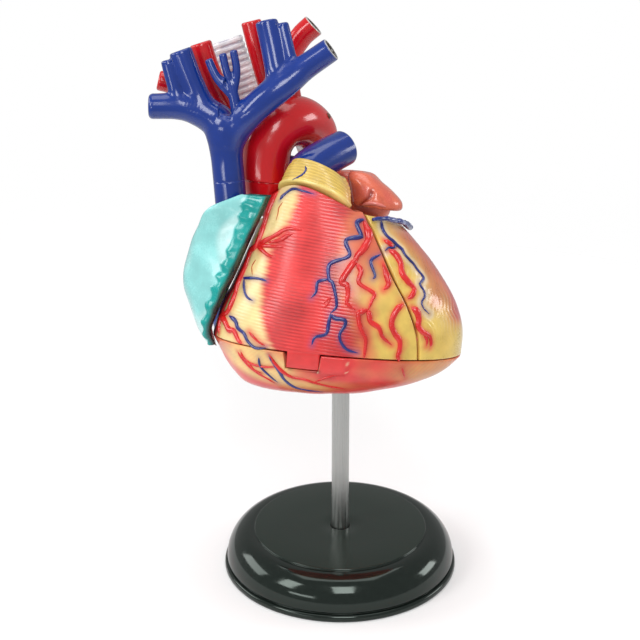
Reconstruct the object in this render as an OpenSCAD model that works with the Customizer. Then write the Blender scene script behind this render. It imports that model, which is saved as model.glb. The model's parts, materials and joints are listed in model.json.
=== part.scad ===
// Human heart anatomy model on a round display stand.
// Origin: centre of the stand's underside. +Z is up and the front of the heart faces -Y.
// The heart is drawn in its own upright frame, whose z = 0 plane is the joint between the
// ventricle walls and the floor, and is then leaned back on the rod by in_heart().

/* [Stand] */
// Diameter of the stand
base_d = 54; // [48:0.5:70]
// Height of the stand's flat top disc
base_h = 9.7; // [9:0.1:14]
// Diameter of the flat top disc
disc_d = 40; // [30:0.5:43]
// Wall of the stand's moulded shell
base_wall = 2; // [1.4:0.1:2.6]
// Diameter of the steel rod
rod_d = 4; // [3:0.1:5]
// Height above the table of the joint plane, where the rod's axis crosses it
cut_z = 56.5; // [52:0.5:75]

/* [Pose of the heart on its rod] */
// How far the top of the heart leans back, in degrees
lean_back = 15; // [10:1:20]
// How far the joint plane falls to the right, in degrees
fall_right = 5; // [0:1:8]

/* [Ventricle body] */
// Reach of the body to the left of the rod
reach_left = 28.7; // [27.5:0.1:30]
// Reach of the body to the right of the rod
reach_right = 27; // [25:0.1:30]
// Reach of the body in front of the rod
reach_front = 19.5; // [18.5:0.1:21]
// Reach of the body behind the rod
reach_rear = 19; // [17:0.1:20]
// Depth of the floor piece below the joint plane
floor_depth = 11; // [10:0.1:13]
// Thickness of the moulded walls
wall_t = 2; // [1.6:0.1:2.2]
// Gap between pieces that come apart
seam_gap = 0.3; // [0.2:0.05:0.4]

/* [Vessels] */
// Outer diameter of the aorta
aorta_d = 10.8; // [9.6:0.1:11]
// Outer diameter of the superior vena cava
cava_d = 7; // [6:0.1:7.4]
// Outer diameter of the brachiocephalic veins
vein_d = 6; // [5:0.1:6.2]
// Outer diameter of the neck arteries
artery_d = 4.5; // [3.8:0.1:4.7]
// Outer diameter of the internal jugular veins
jugular_d = 4.5; // [3.8:0.1:4.7]
// Outer diameter of the small outer jugular veins
small_vein_d = 2.8; // [2.2:0.1:3]
// Outer diameter of the pulmonary trunk
trunk_d = 8; // [7:0.1:8.4]
// Outer diameter of the right pulmonary artery
lung_artery_d = 5.2; // [4.4:0.1:5.4]
// Outer diameter of the pulmonary veins
lung_vein_d = 4; // [3:0.1:4.4]
// Diameter of the vein along the top of the left ventricle wall
cardiac_vein_d = 2; // [1.6:0.1:2.2]
// Outer diameter of the inferior vena cava
lower_cava_d = 5.4; // [4.4:0.1:5.6]
// Outer diameter of the windpipe over its rings
windpipe_d = 7.6; // [6.6:0.1:7.8]
// Depth of the open mouths of the cut vessels
mouth_depth = 3; // [1.5:0.1:4]
// Bore of the open mouths, as a share of the vessel's outer diameter
mouth_share = 0.7; // [0.5:0.05:0.8]

/* [Fits] */
// Diameter of the pegs that the removable pieces plug in with
peg_d = 2; // [1.6:0.1:2.2]
// Diametral clearance of a peg in its hole
peg_fit = 0.1; // [0.06:0.02:0.16]
// Diametral clearance of the rod in its sockets
rod_fit = 0.1; // [0.06:0.02:0.2]

/* [Hidden] */

$fn = 48;

// Stand
rod_seat = 1.8;
rod_socket_h = 6;
rod_bottom = rod_seat;
rod_top = cut_z + rod_socket_h;
socket_wall = 2;
lip_h = 1.6;
groove = 0.5;
ring_step = 0.5;

// Heights in the heart's frame
row_pitch = 6;
crown_top = 26.5;
crown_t = 3;
wall_top_left = 33.6;
wall_top_seam = 31;
wall_top_right = 28.2;
// The joint between the right ventricle wall and the cap is a plane that starts at this x and y at
// the wall's top left corner, and falls to the right and to the rear by these slopes
cap_corner = [-16.8, -2.9];
cap_fall = 0.562;
cap_lean = 0.8255;
cap_gap = 1.5 * seam_gap;
cava_joint = 34.6;
root_joint = 34.4;

// Centres of the four valves in the crown, and their hole diameters
tricuspid_at = [-11.5, 5.6];
mitral_at = [4.8, 4.6];
aortic_at = [-3.6, -0.4];
pulmonary_at = [-7.2, -8];
inflow_d = 7.6;
outflow_d = 4.6;

// Colours, as the photograph shows them
black = [0.16, 0.19, 0.18];
steel = [0.75, 0.76, 0.77];
coral = [0.93, 0.34, 0.29];
tan_orange = [0.83, 0.62, 0.35];
cream = [0.92, 0.83, 0.55];
yellow = [0.88, 0.77, 0.40];
blue = [0.12, 0.25, 0.60];
red = [0.82, 0.12, 0.15];
aqua = [0.50, 0.82, 0.80];
salmon = [0.84, 0.40, 0.32];
white = [0.86, 0.86, 0.88];

// ---------------------------------------------------------------- curves and meshes

// Catmull-Rom curve through rows of numbers, with its ends carried straight on
function at(rows, i) = i < 0 ? 2 * rows[0] - rows[1]
    : i > len(rows) - 1 ? 2 * rows[len(rows) - 1] - rows[len(rows) - 2] : rows[i];
function blend(a, b, c, d, t) =
    0.5 * (2 * b + (c - a) * t + (2 * a - 5 * b + 4 * c - d) * t * t + (3 * b - a - 3 * c + d) * t * t * t);
function along(rows, s) =
    let (i = max(0, min(floor(s), len(rows) - 2)))
    blend(at(rows, i - 1), at(rows, i), at(rows, i + 1), at(rows, i + 2), s - i);
function smooth(rows, steps) = [for (k = [0 : steps * (len(rows) - 1)]) along(rows, k / steps)];

function unit(v) = v / norm(v);
function place(p) = [p[0], p[1], p[2]];
function heading(path, i) =
    unit(place(path[min(i + 1, len(path) - 1)]) - place(path[max(i - 1, 0)]));

// One ring of a tube: radius r round centre c, square to direction t
function ring(c, t, r, sides) =
    let (across = unit(cross(t, [0, 1, 0.01])), over = cross(across, t))
    [for (k = [0 : sides - 1]) c + r * (cos(360 * k / sides) * across + sin(360 * k / sides) * over)];

// Route points with a radius added to each: r times that point's share
function sized(route, r, shares = []) =
    [for (i = [0 : len(route) - 1]) concat(route[i], [r * (i < len(shares) ? shares[i] : 1)])];

// Middle of a ring
function middle(points) = [for (k = [0 : 2]) [for (p = points) p[k]] * [for (p = points) 1] / len(points)];

// Closed solid through a stack of rings that have equally many points
module stack(rings) {
    n = len(rings[0]);
    last = len(rings) - 1;
    points = concat([for (r = rings) each r], [middle(rings[0]), middle(rings[last])]);
    low = n * (last + 1);
    sides = [for (i = [0 : last - 1]) for (k = [0 : n - 1])
        let (a = i * n + k, b = i * n + (k + 1) % n)
        each [[a, b, b + n], [a, b + n, a + n]]];
    low_cap = [for (k = [0 : n - 1]) [(k + 1) % n, k, low]];
    high_cap = [for (k = [0 : n - 1]) [last * n + k, last * n + (k + 1) % n, low + 1]];
    polyhedron(points, concat(sides, low_cap, high_cap));
}

// Curved wall between an outer and an inner sheet of points, closed on its four edges
module shell(outer, inner) {
    m = len(outer[0]);
    last = len(outer) - 1;
    far = m * (last + 1);
    points = concat([for (r = outer) each r], [for (r = inner) each r]);
    sheets = [for (i = [0 : last - 1]) for (k = [0 : m - 2])
        let (a = i * m + k, b = a + 1, c = b + m, d = a + m)
        each [[a, c, b], [a, d, c], [far + a, far + b, far + c], [far + a, far + c, far + d]]];
    low = [for (k = [0 : m - 2]) each [[k, k + 1, far + k + 1], [k, far + k + 1, far + k]]];
    high = [for (k = [last * m : last * m + m - 2])
        each [[k, far + k + 1, k + 1], [k, far + k, far + k + 1]]];
    start = [for (i = [0 : last - 1]) let (a = i * m, d = a + m)
        each [[a, far + a, far + d], [a, far + d, d]]];
    end = [for (i = [0 : last - 1]) let (a = i * m + m - 1, d = a + m)
        each [[a, far + d, far + a], [a, d, far + d]]];
    polyhedron(points, concat(sheets, low, high, start, end));
}

// Tube along a path of [x, y, z, radius]; an open mouth at its last point if depth > 0
module tube(path, sides = 12, depth = 0) {
    last = len(path) - 1;
    outer = [for (i = [0 : last]) ring(place(path[i]), heading(path, i), path[i][3], sides)];
    bore_r = path[last][3] * mouth_share;
    back = heading(path, last) * depth;
    mouth = depth > 0 ? [
        ring(place(path[last]), heading(path, last), bore_r, sides),
        ring(place(path[last]) - back, heading(path, last), bore_r, sides)] : [];
    stack(concat(outer, mouth));
}

// Rounded body through ellipses: rows of [height, centre x, centre y, half width, half depth]
// and how much each level falls to the right of x = level_at
module lump(rows, steps = 3, sides = 20, fall = 0, level_at = 0) {
    stack([for (r = smooth(rows, steps)) [for (k = [0 : sides - 1])
        let (x = r[1] + r[3] * cos(360 * k / sides))
        [x, r[2] - r[4] * sin(360 * k / sides), r[0] - fall * (x - level_at)]]]);
}

// Rows of a lump with their heights counted from a base
function raised(rows, base) = [for (r = rows) [r[0] + base, r[1], r[2], r[3], r[4]]];

// Pin from one point to another
module pin(from, to, d) {
    dir = to - from;
    translate(from)
        rotate([0, acos(dir[2] / norm(dir)), atan2(dir[1], dir[0])])
            cylinder(d = d, h = norm(dir));
}

module in_heart() {
    translate([0, 0, cut_z]) rotate([-lean_back, fall_right, 0]) children();
}

// ---------------------------------------------------------------- outer skin of the ventricles

// Shape rows, as shares of the reaches: [left, right, front, rear], one each row_pitch upwards
upper_rows = [
    [1.000, 1.000, 1.000, 1.000],
    [0.955, 0.990, 1.000, 1.000],
    [0.875, 0.907, 0.965, 0.950],
    [0.800, 0.752, 0.890, 0.870],
    [0.728, 0.552, 0.780, 0.740],
    [0.650, 0.318, 0.640, 0.600],
    [0.550, 0.070, 0.470, 0.430]];
// The same below the joint plane, one each sixth of floor_depth, slower towards the bottom
lower_rows = [
    [1.000, 1.000, 1.000, 1.000],
    [0.935, 0.900, 0.960, 0.960],
    [0.880, 0.740, 0.880, 0.880],
    [0.815, 0.520, 0.760, 0.760],
    [0.735, 0.250, 0.600, 0.600],
    [0.600, -0.060, 0.380, 0.380]];
squareness = 2.3;

// Height -> shape row; below the plane the parameter runs with the sine of the depth
function shape_at(z) = z >= 0 ? along(upper_rows, z / row_pitch)
    : along(lower_rows, 5 * asin(min(1, -z / floor_depth)) / 75);
function side(v, power) = sign(v) * pow(abs(v), power);
// Point of the skin at height z and angle a, drawn in by inset
function skin(z, a, inset = 0) =
    let (f = shape_at(z),
        left = f[0] * reach_left - inset,
        right = f[1] * reach_right - inset,
        deep = sin(a) < 0 ? f[2] * reach_front - inset : f[3] * reach_rear - inset)
    [(right - left) / 2 + (right + left) / 2 * side(cos(a), 2 / squareness),
        deep * side(sin(a), 2 / squareness), z];
// Angle on the front of the skin at which it stands at x
function front_angle(z, x) =
    let (f = shape_at(z), left = f[0] * reach_left, right = f[1] * reach_right,
        c = (x - (right - left) / 2) / ((right + left) / 2))
    360 - acos(side(max(-1, min(1, c)), squareness / 2));

// The joint line between the two ventricle walls: x for each row_pitch upwards
seam_rows = [[16.4], [15.5], [12.9], [9.2], [6], [2.6], [-1]];
function seam_x(z) = z < 0 ? seam_rows[0][0] : along(seam_rows, z / row_pitch)[0];

// ---------------------------------------------------------------- stand

module display_base() {
    outer_r = base_d / 2;
    shoulder_r = outer_r - groove;
    shoulder_z = lip_h + groove;
    step_r = disc_d / 2 + ring_step;
    top = base_h - ring_step;
    shoulder = [for (a = [0 : 10 : 90])
        [step_r + (shoulder_r - step_r) * cos(a), shoulder_z + (top - shoulder_z) * sin(a)]];
    color(black) difference() {
        rotate_extrude($fn = 96) polygon(concat(
            [[0, 0], [outer_r, 0], [outer_r, lip_h - groove], [outer_r - groove / 2, lip_h],
                [outer_r - 2 * groove, lip_h]],
            shoulder,
            [[disc_d / 2, top], [disc_d / 2, base_h], [0, base_h]]));
        rotate_extrude($fn = 96) polygon([
            [rod_d / 2 + socket_wall, -1], [outer_r - 2 * base_wall, -1],
            [outer_r - 2 * base_wall, lip_h], [step_r - base_wall, top - 2 * base_wall],
            [step_r - 2 * base_wall, base_h - base_wall],
            [rod_d / 2 + socket_wall, base_h - base_wall]]);
        translate([0, 0, rod_seat]) cylinder(d = rod_d + rod_fit, h = base_h);
    }
}

module support_rod() {
    edge = 0.3;
    color(steel) rotate_extrude() polygon([
        [0, rod_bottom], [rod_d / 2 - edge, rod_bottom], [rod_d / 2, rod_bottom + edge],
        [rod_d / 2, rod_top - edge], [rod_d / 2 - edge, rod_top], [0, rod_top]]);
}

// ---------------------------------------------------------------- floor, walls and septum

tongue_left = -12.2;
tongue_right = -5.4;
tongue_depth = 3.4;

// Feet of the cone-shaped muscles that stand up in the floor, and their size
muscle_feet = [[-13, 4, -9.6], [-9, -8, -9], [15.5, 5, -5.6]];
muscle_foot_r = 2.2;
muscle_tip_r = 0.8;
muscle_h = 15;
// The rod's socket starts this far above the bottom of the floor and ends in a closed top
socket_rise = 1.6;
socket_top_t = 2.4;

function skin_ring(z, inset, sides) = [for (k = [0 : sides - 1]) skin(z, 360 - 360 * k / sides, inset)];

module ventricle_floor() {
    sides = 48;
    depths = [0, 0.22, 0.42, 0.6, 0.75, 0.87, 0.945, 0.97];
    outer = [for (d = depths) skin_ring(-d * floor_depth, 0, sides)];
    inner_depth = 1 - wall_t / floor_depth;
    inner = [for (d = depths)
        [for (p = skin_ring(-d * floor_depth, wall_t, sides)) [p[0], p[1], p[2] * inner_depth]]];
    last = len(depths) - 1;
    color(coral) difference() {
        union() {
            in_heart() stack(concat([for (i = [last : -1 : 0]) outer[i]], inner));
            translate([0, 0, cut_z - floor_depth + socket_rise])
                cylinder(d = rod_d + 2 * socket_wall,
                    h = floor_depth - socket_rise + rod_socket_h + socket_top_t);
            in_heart() for (p = muscle_feet)
                translate(p) cylinder(r1 = muscle_foot_r, r2 = muscle_tip_r, h = muscle_h);
        }
        translate([0, 0, cut_z - floor_depth - 4])
            cylinder(d = rod_d + rod_fit, h = floor_depth + 4 + rod_socket_h + 0.2);
        in_heart() translate([tongue_left - 2 * seam_gap, -reach_front - 2, -tongue_depth - seam_gap])
            cube([tongue_right - tongue_left + 4 * seam_gap, 12, tongue_depth + 4]);
    }
}

// Patch of the moulded skin between two angle rules, from height low to a top that may change
// with the share v of the way round and with the depth below the skin
module skin_patch(low, top, start_angle, end_angle, rows, cols, inset = 0) {
    function spot(i, j, deep) =
        let (v = j / cols, z = low + (top(v, deep) - low) * i / rows,
            a = start_angle(z) + (end_angle(z) - start_angle(z)) * v)
        skin(z, a, deep);
    shell([for (i = [0 : rows]) [for (j = [0 : cols]) spot(i, j, inset)]],
        [for (i = [0 : rows]) [for (j = [0 : cols]) spot(i, j, wall_t)]]);
}

// Angles at which the rear wall meets the left and the right ventricle walls
rear_start = 18;
rear_end = 192;
edge_gap = 1.5;

module rear_wall() {
    color(coral) in_heart()
        skin_patch(0, function(v, deep) crown_top, function(z) rear_start, function(z) rear_end, 12, 26);
}

crown_low = crown_top - crown_t;
septum_t = 4;
// How far the septum's rear edge stands to the left of its front edge
septum_turn = 11.5;

// The septum leans with the joint line; each level is a slab from the front wall to the rear
module septum() {
    levels = [-2, 1, 6, 12, 18, crown_low];
    in_front = wall_t + 2 * seam_gap;
    function slab(z) =
        let (mid = seam_x(z) - septum_t / 2, back = mid - septum_turn,
            front = skin(z, front_angle(z, mid), in_front)[1],
            rear = -skin(z, front_angle(z, back), in_front)[1] * reach_rear / reach_front - 1)
        [[back - septum_t / 2, rear, z], [back + septum_t / 2, rear, z],
            [mid + septum_t / 2, front + 1.6, z], [mid - septum_t / 2, front, z]];
    color(salmon) difference() {
        in_heart() stack([for (z = levels) slab(z)]);
        in_heart() right_wall_pegs(peg_fit);
        in_heart() left_wall_pegs(peg_fit);
    }
}

right_peg_z = crown_top - crown_t / 2;
left_pull = unit([0.75, -0.66, 0]);

// Pegs of the right ventricle wall: two into the crown's edge, one into the septum
module right_wall_pegs(extra = 0) {
    for (p = [[-15, right_peg_z, -10, -4.6], [2.5, right_peg_z, -13, -7.8], [9.5, 14, -16.2, -11.6]])
        pin([p[0], p[2] - (extra > 0 ? 4 : 0), p[1]], [p[0], p[3] + extra, p[1]], peg_d + extra);
}

// Pegs of the left ventricle wall: one into the crown's edge, one into the septum
module left_wall_pegs(extra = 0) {
    for (p = [[7.4, -4.2, right_peg_z], [13.2, -12.6, 5]])
        pin([p[0], p[1], p[2]] - left_pull * extra,
            [p[0], p[1], p[2]] + left_pull * (4.6 + (extra > 0 ? 6 : 0)), peg_d + extra);
}

// Height of the cap's joint plane over a point
function cap_joint(x, y) =
    wall_top_left - cap_fall * (x - cap_corner[0]) - cap_lean * (y - cap_corner[1]);

function right_wall_start(z) = rear_end + edge_gap;
function right_wall_end(z) = front_angle(z, seam_x(z) - seam_gap * 0.8);
// Height at which the right ventricle wall meets that plane, found from a first guess in a few steps
function right_wall_top(v, deep, z = 33, steps = 6) = steps == 0 ? max(z, wall_top_seam)
    : let (a = right_wall_start(z) + (right_wall_end(z) - right_wall_start(z)) * v, p = skin(z, a, deep))
    right_wall_top(v, deep, z + (cap_joint(p[0], p[1]) - z) / 1.6, steps - 1);

module right_ventricle_wall() {
    color(coral) in_heart() {
        skin_patch(seam_gap, function(v, deep) right_wall_top(v, deep), function(z) right_wall_start(z),
            function(z) right_wall_end(z), 14, 24);
        skin_patch(-tongue_depth, function(v, deep) 1.5, function(z) front_angle(z, tongue_left),
            function(z) front_angle(z, tongue_right), 3, 4, 0.3);
        right_wall_pegs();
    }
}

left_top_start = wall_top_seam - 2 * seam_gap;
left_end_angle = 360 + rear_start - edge_gap;

module left_ventricle_wall() {
    color(tan_orange) in_heart() {
        skin_patch(seam_gap, function(v, deep) left_top_start + (wall_top_right - left_top_start) * v,
            function(z) front_angle(z, seam_x(z) + seam_gap * 0.8), function(z) left_end_angle, 14, 16);
        left_wall_pegs();
    }
}

// The vein's route along the wall's top edge: share of the way round, and drop below the edge
cardiac_vein_lie = [[0.03, 0.7], [0.18, 0.2], [0.39, 0.15], [0.59, 0.4], [0.75, 0.85], [0.89, 1.6]];
cardiac_vein_start = 300;

module great_cardiac_vein() {
    r = cardiac_vein_d / 2;
    route = [for (p = cardiac_vein_lie)
        skin(left_top_start + (wall_top_right - left_top_start) * p[0] - p[1],
            cardiac_vein_start + (left_end_angle - cardiac_vein_start) * p[0], -1.5 * r)];
    color(blue) in_heart() tube(smooth(sized(route, r), 3), 8);
}

// ---------------------------------------------------------------- crown and valves

module valve_crown() {
    sides = 48;
    outline = [for (k = [0 : sides - 1])
        let (p = skin(crown_top, 360 * k / sides, wall_t + seam_gap)) [p[0], p[1]]];
    color(cream) in_heart() difference() {
        translate([0, 0, crown_low]) linear_extrude(crown_t) polygon(outline);
        for (v = [[tricuspid_at, inflow_d], [mitral_at, inflow_d],
                [aortic_at, outflow_d], [pulmonary_at, outflow_d]])
            translate([v[0][0], v[0][1], crown_low - 1]) cylinder(d = v[1], h = crown_t + 2);
        right_wall_pegs(peg_fit);
        left_wall_pegs(peg_fit);
        cap_pegs(peg_fit);
    }
}

// Inflow valve: a ring in the crown with a funnel of leaflets hanging below
module inflow_valve(centre, hem) {
    r = inflow_d / 2 - peg_fit / 2;
    color(white) in_heart() translate([centre[0], centre[1], crown_low])
        difference() {
            rotate_extrude() polygon([[r, crown_t], [r, 0], [r * 0.62, -hem], [r * 0.5, -hem],
                [r - 0.8, 0.3], [r - 0.8, crown_t]]);
            for (a = [0 : 120 : 240]) rotate(a + 20) translate([0, -0.25, -hem - 1])
                cube([r + 1, 0.5, hem]);
        }
}

// Outflow valve: a ring with three pocket cusps that meet in the middle
module outflow_valve(centre) {
    r = outflow_d / 2 - peg_fit / 2;
    color(white) in_heart() translate([centre[0], centre[1], crown_low])
        difference() {
            cylinder(r = r, h = crown_t);
            for (a = [0 : 120 : 240]) rotate(a) translate([r * 0.48, 0, 0.7])
                cylinder(r1 = r * 0.3, r2 = r * 0.38, h = crown_t);
            translate([0, 0, -1]) cylinder(r = r - 0.8, h = 1.4);
        }
}

module tricuspid_valve() inflow_valve(tricuspid_at, 4.5);
module mitral_valve() inflow_valve(mitral_at, 5);
module aortic_valve() outflow_valve(aortic_at);
module pulmonary_valve() outflow_valve(pulmonary_at);

// ---------------------------------------------------------------- conus and pulmonary artery

// Where the cap's two pegs stand
cap_peg_at = [[-12.3, -4.6], [-3.4, -7.4]];

module cap_pegs(extra = 0) {
    for (p = cap_peg_at)
        translate([p[0], p[1], crown_low + 0.8 - extra])
            cylinder(d = peg_d + extra, h = cap_joint(p[0], p[1]) + cap_gap + 1.5 - crown_low);
}

// Rows of the cap from its joint up: [height above the joint, centre x, centre y, half length,
// half depth in front, half depth behind, share of the joint's slopes, turn of the long way]
cap_rows = [[0, -8.9, -5.98, 8.9, 3.6, 2.5, 1, 29.3], [1.5, -8.6, -5.7, 8.5, 3.7, 2.9, 0.94, 27],
    [4, -8.3, -4.9, 7.4, 3.8, 3.4, 0.8, 21], [6.2, -8.4, -3.9, 5.9, 3.9, 3.7, 0.66, 13]];

// One level of the cap: half an ellipse in front and half behind, laid on a plane of its own slope
// that turns level beside the walls' joint line, as the wall below it does
function cap_ring(r, sides) =
    let (middle_z = cap_joint(cap_rows[0][1], cap_rows[0][2]) + cap_gap + r[0],
        lowest = wall_top_seam + cap_gap + r[0])
    [for (k = [0 : sides - 1])
        let (a = -360 * k / sides, u = r[3] * cos(a), w = (sin(a) < 0 ? r[4] : r[5]) * sin(a),
            dx = u * cos(r[7]) + w * sin(r[7]), dy = w * cos(r[7]) - u * sin(r[7]))
        [r[1] + dx, r[2] + dy, max(lowest, middle_z - r[6] * (cap_fall * dx + cap_lean * dy))]];

module cap_form() {
    stack([for (r = smooth(cap_rows, 3)) cap_ring(r, 28)]);
}

module conus_cap() {
    color(yellow) in_heart() {
        cap_form();
        cap_pegs();
    }
}

trunk_route = [[-11.6, -3.8, wall_top_left + 3.3], [-10.6, -2.4, wall_top_left + 5],
    [-6.9, 1, wall_top_left + 7.5], [-2.8, 4.9, wall_top_left + 9.7]];

module pulmonary_trunk() {
    color(blue) in_heart() difference() {
        tube(smooth(sized(trunk_route, trunk_d / 2, [0.9, 1.04, 1.03, 1]), 3), 16, mouth_depth);
        cap_form();
    }
}

// The pin that carries the windpipe stands on this artery
lung_artery_route = [[-8, 12.4, 35.6], [-12, 13.2, 37], [-18, 14, 37.4], [-25, 14, 36.6]];
saddle_root = [-19.2, 14, 37.4];
saddle_top = [-22.4, 14, 44.7];

module right_pulmonary_artery() {
    color(blue) in_heart() {
        tube(smooth(sized(lung_artery_route, lung_artery_d / 2, [0.96, 1, 1, 0.96]), 2), 12, mouth_depth);
        pin(saddle_root, saddle_top + 0.08 * (saddle_top - saddle_root), peg_d);
    }
}

// ---------------------------------------------------------------- atria

right_atrium_rows = [[2.5, -29.9, 1.6, 0.7, 2.4], [5, -29.9, 1.8, 1.8, 4.2],
    [10, -29.8, 2, 3.2, 5.2], [16, -28.3, 2, 3.8, 5.4], [22, -26.5, 0.8, 3.7, 4.8],
    [26.4, -26.6, -0.5, 3.6, 4], [28.6, -27, -1, 3.5, 3.5]];

module right_atrium() {
    color(blue) in_heart() lump(right_atrium_rows, 3, 20);
}

// Rows of the auricle: [height, front edge x y, bulge x y, rear edge x y, width of the front edge]
auricle_rows = [
    [-2.3, -28.5, -4.8, -29.6, -2.4, -29.5, 1, 0.9],
    [1, -30, -7, -32, -1.6, -30.9, 4.5, 1],
    [5, -29.4, -8, -34, -1, -32.2, 7, 1.2],
    [10, -27.7, -9, -35.7, -1, -33.7, 8, 1.2],
    [15, -25.9, -9.3, -35.5, -1.5, -33.4, 7, 1.4],
    [22, -23.1, -9.2, -33.6, -3, -32.4, 3.4, 1],
    [28.5, -20.5, -8.8, -30, -7.4, -31, -5.4, 0.8],
    [32.5, -19, -7.2, -22.6, -7.6, -24.4, -6.6, 0.8]];
auricle_t = 1.7;

module right_auricle() {
    cols = 10;
    rows = smooth(auricle_rows, 3);
    function arc(f, m, b, t) =
        let (c = 2 * m - (f + b) / 2) (1 - t) * (1 - t) * f + 2 * t * (1 - t) * c + t * t * b;
    function outer_spot(r, t) =
        let (p = arc([r[1], r[2]], [r[3], r[4]], [r[5], r[6]], t)) [p[0], p[1], r[0]];
    function inner_spot(r, t) =
        let (p = arc([r[1] + r[7], r[2] + 1.3], [r[3] + auricle_t, r[4] + 0.4],
            [r[5] + auricle_t * 0.9, r[6] - 0.2], t)) [p[0], p[1], r[0]];
    color(aqua) in_heart() shell(
        [for (r = rows) [for (k = [cols : -1 : 0]) outer_spot(r, k / cols)]],
        [for (r = rows) [for (k = [cols : -1 : 0]) inner_spot(r, k / cols)]]);
}

// Rows of the left atrium, with heights above the crown
left_atrium_rows = [[0.1, 1, 10.4, 6.8, 5.2], [3.5, 1, 11.2, 8.2, 6],
    [7.5, 0.6, 11.4, 7.6, 5.6], [10.5, 0.4, 11.2, 5, 4], [11.5, 0.4, 11.2, 2.4, 2]];

module left_atrium_form() {
    lump(raised(left_atrium_rows, crown_top), 3, 20);
}

module left_atrium() {
    color(salmon) in_heart() left_atrium_form();
}

// Rows of the left auricle, with heights above the ventricle walls' top at the joint line
left_auricle_rows = [[0.4, 5.1, -0.3, 4.7, 4], [1.2, 5.2, -0.2, 5.5, 4.8], [2.6, 4.9, -0.1, 5.6, 5],
    [4.4, 3.7, 0, 4.9, 4.6], [6.1, 2.2, 0.2, 3.9, 3.8], [7.4, 1.2, 0.3, 2.4, 2.5],
    [7.9, 0.8, 0.3, 0.9, 1]];

module left_auricle() {
    color(salmon) in_heart() lump(raised(left_auricle_rows, wall_top_seam), 3, 20, 0.06);
}

left_stub_route = [[3, 14.2, 31.8], [4.8, 16.4, 31.8], [6, 18.6, 31.8]];
right_stub_route = [[-5.4, 14.2, 31.9], [-9.7, 16.5, 31.9], [-14, 18, 31.9]];
left_stub_drop = 4.3;
right_stub_drop = 4.1;

// A pair of stubs from one side of the left atrium, the second lower by drop
module stub_pair(route, drop) {
    color(red) in_heart() difference() {
        for (d = [0, drop])
            tube(smooth(sized([for (p = route) p - [0, 0, d]], lung_vein_d / 2), 2), 10, mouth_depth * 0.8);
        left_atrium_form();
    }
}
module left_pulmonary_veins() stub_pair(left_stub_route, left_stub_drop);
module right_pulmonary_veins() stub_pair(right_stub_route, right_stub_drop);

// ---------------------------------------------------------------- aorta and its branches

aorta_r = aorta_d / 2;
ascending_x = -19.6;
ascending_y = 4.6;

// Everything of the heart's width above or below one height, to cut a flat joint with
module above(z) translate([-60, -40, z]) cube([120, 80, 20]);
module below(z) translate([-60, -40, z - 20]) cube([120, 80, 20]);

root_route = [concat(aortic_at, [crown_low]), [-5.6, 1, 27], [-12.4, 3.6, 28.8],
    [ascending_x + 1.3, ascending_y, 31], [ascending_x, ascending_y, root_joint + 1.4]];

module aortic_root() {
    color(red) in_heart() {
        difference() {
            tube(smooth(sized(root_route, aorta_r, [0.555, 0.61, 0.75, 0.91, 0.98]), 3), 16);
            below(crown_top + 0.05);
            above(root_joint);
        }
        translate([ascending_x, ascending_y, root_joint - 1])
            cylinder(d = peg_d * 1.5, h = 4);
    }
}

arch_route = [[ascending_x + 0.1, ascending_y, root_joint - 1.4], [-20, ascending_y, 39.4],
    [-19.6, ascending_y + 0.2, 43.4], [-17.4, 6, 47.1], [-13.4, 9.8, 48],
    [-9.8, 15.4, 45.7], [-8.1, 20.4, 41.2]];
descending_route = [[-8.3, 20.2, 41.8], [-7.3, 22.2, 37.4], [-7, 22.6, 32], [-7, 22.6, 26]];
neck_stem_route = [[-23.4, 6, 46], [-25.6, 6, 46.8], [-28.3, 5.6, 48.6], [-31.3, 5.6, 52.8],
    [-34.4, 5.6, 58.4], [-36.6, 5.6, 63.7]];
right_arm_route = [[-32, 6.4, 53.4], [-36, 6.6, 53.5], [-40.4, 6.6, 54], [-45.3, 6.4, 54.7]];
left_neck_route = [[-18.4, 7, 50], [-19.2, 6.6, 52.5], [-21, 6, 56], [-23.7, 5.6, 63.2],
    [-25.8, 5.6, 69.4]];
left_arm_route = [[-14.4, 10.4, 50], [-16, 9.6, 55], [-16.8, 8.8, 61.3], [-14.6, 8.4, 66.5],
    [-11.8, 8, 69.7]];

module arch_form() {
    tube(smooth(sized(arch_route, aorta_r, [0.98, 1, 1.02, 1.07, 1.05, 0.98, 0.86]), 3), 18);
}

module aorta() {
    color(red) in_heart() difference() {
        arch_form();
        below(root_joint + 0.1);
        translate([ascending_x, ascending_y, root_joint - 1])
            cylinder(d = peg_d * 1.5 + peg_fit, h = 4.4);
    }
}

module descending_aorta() {
    color(red) in_heart() difference() {
        tube(smooth(sized(descending_route, aorta_r, [0.88, 0.86, 0.84, 0.82]), 2), 14, mouth_depth);
        arch_form();
    }
}

module brachiocephalic_artery() {
    r = artery_d / 2;
    color(red) in_heart() difference() {
        union() {
            tube(smooth(sized(neck_stem_route, r, [1.18, 1.18, 1.18, 1.1, 1.1, 1.12]), 2), 12);
            tube(smooth(sized(right_arm_route, r), 2), 12);
        }
        arch_form();
    }
}

module left_carotid_artery() {
    color(red) in_heart() difference() {
        tube(smooth(sized(left_neck_route, artery_d / 2), 2), 12);
        arch_form();
    }
}

module left_subclavian_artery() {
    color(red) in_heart() difference() {
        tube(smooth(sized(left_arm_route, artery_d / 2, [1, 1.05, 1.08, 1.12, 1.16]), 2), 12, mouth_depth);
        arch_form();
    }
}

// ---------------------------------------------------------------- veins

cava_y = -1;
cava_at = [-27.8, cava_y, cava_joint];
cava_up = unit([-0.16, 0, 0.987]);
lower_cava_route = [[-26.9, cava_y, 29.3], [-27.2, cava_y, 31], cava_at - cava_up * 0.2];
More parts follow.
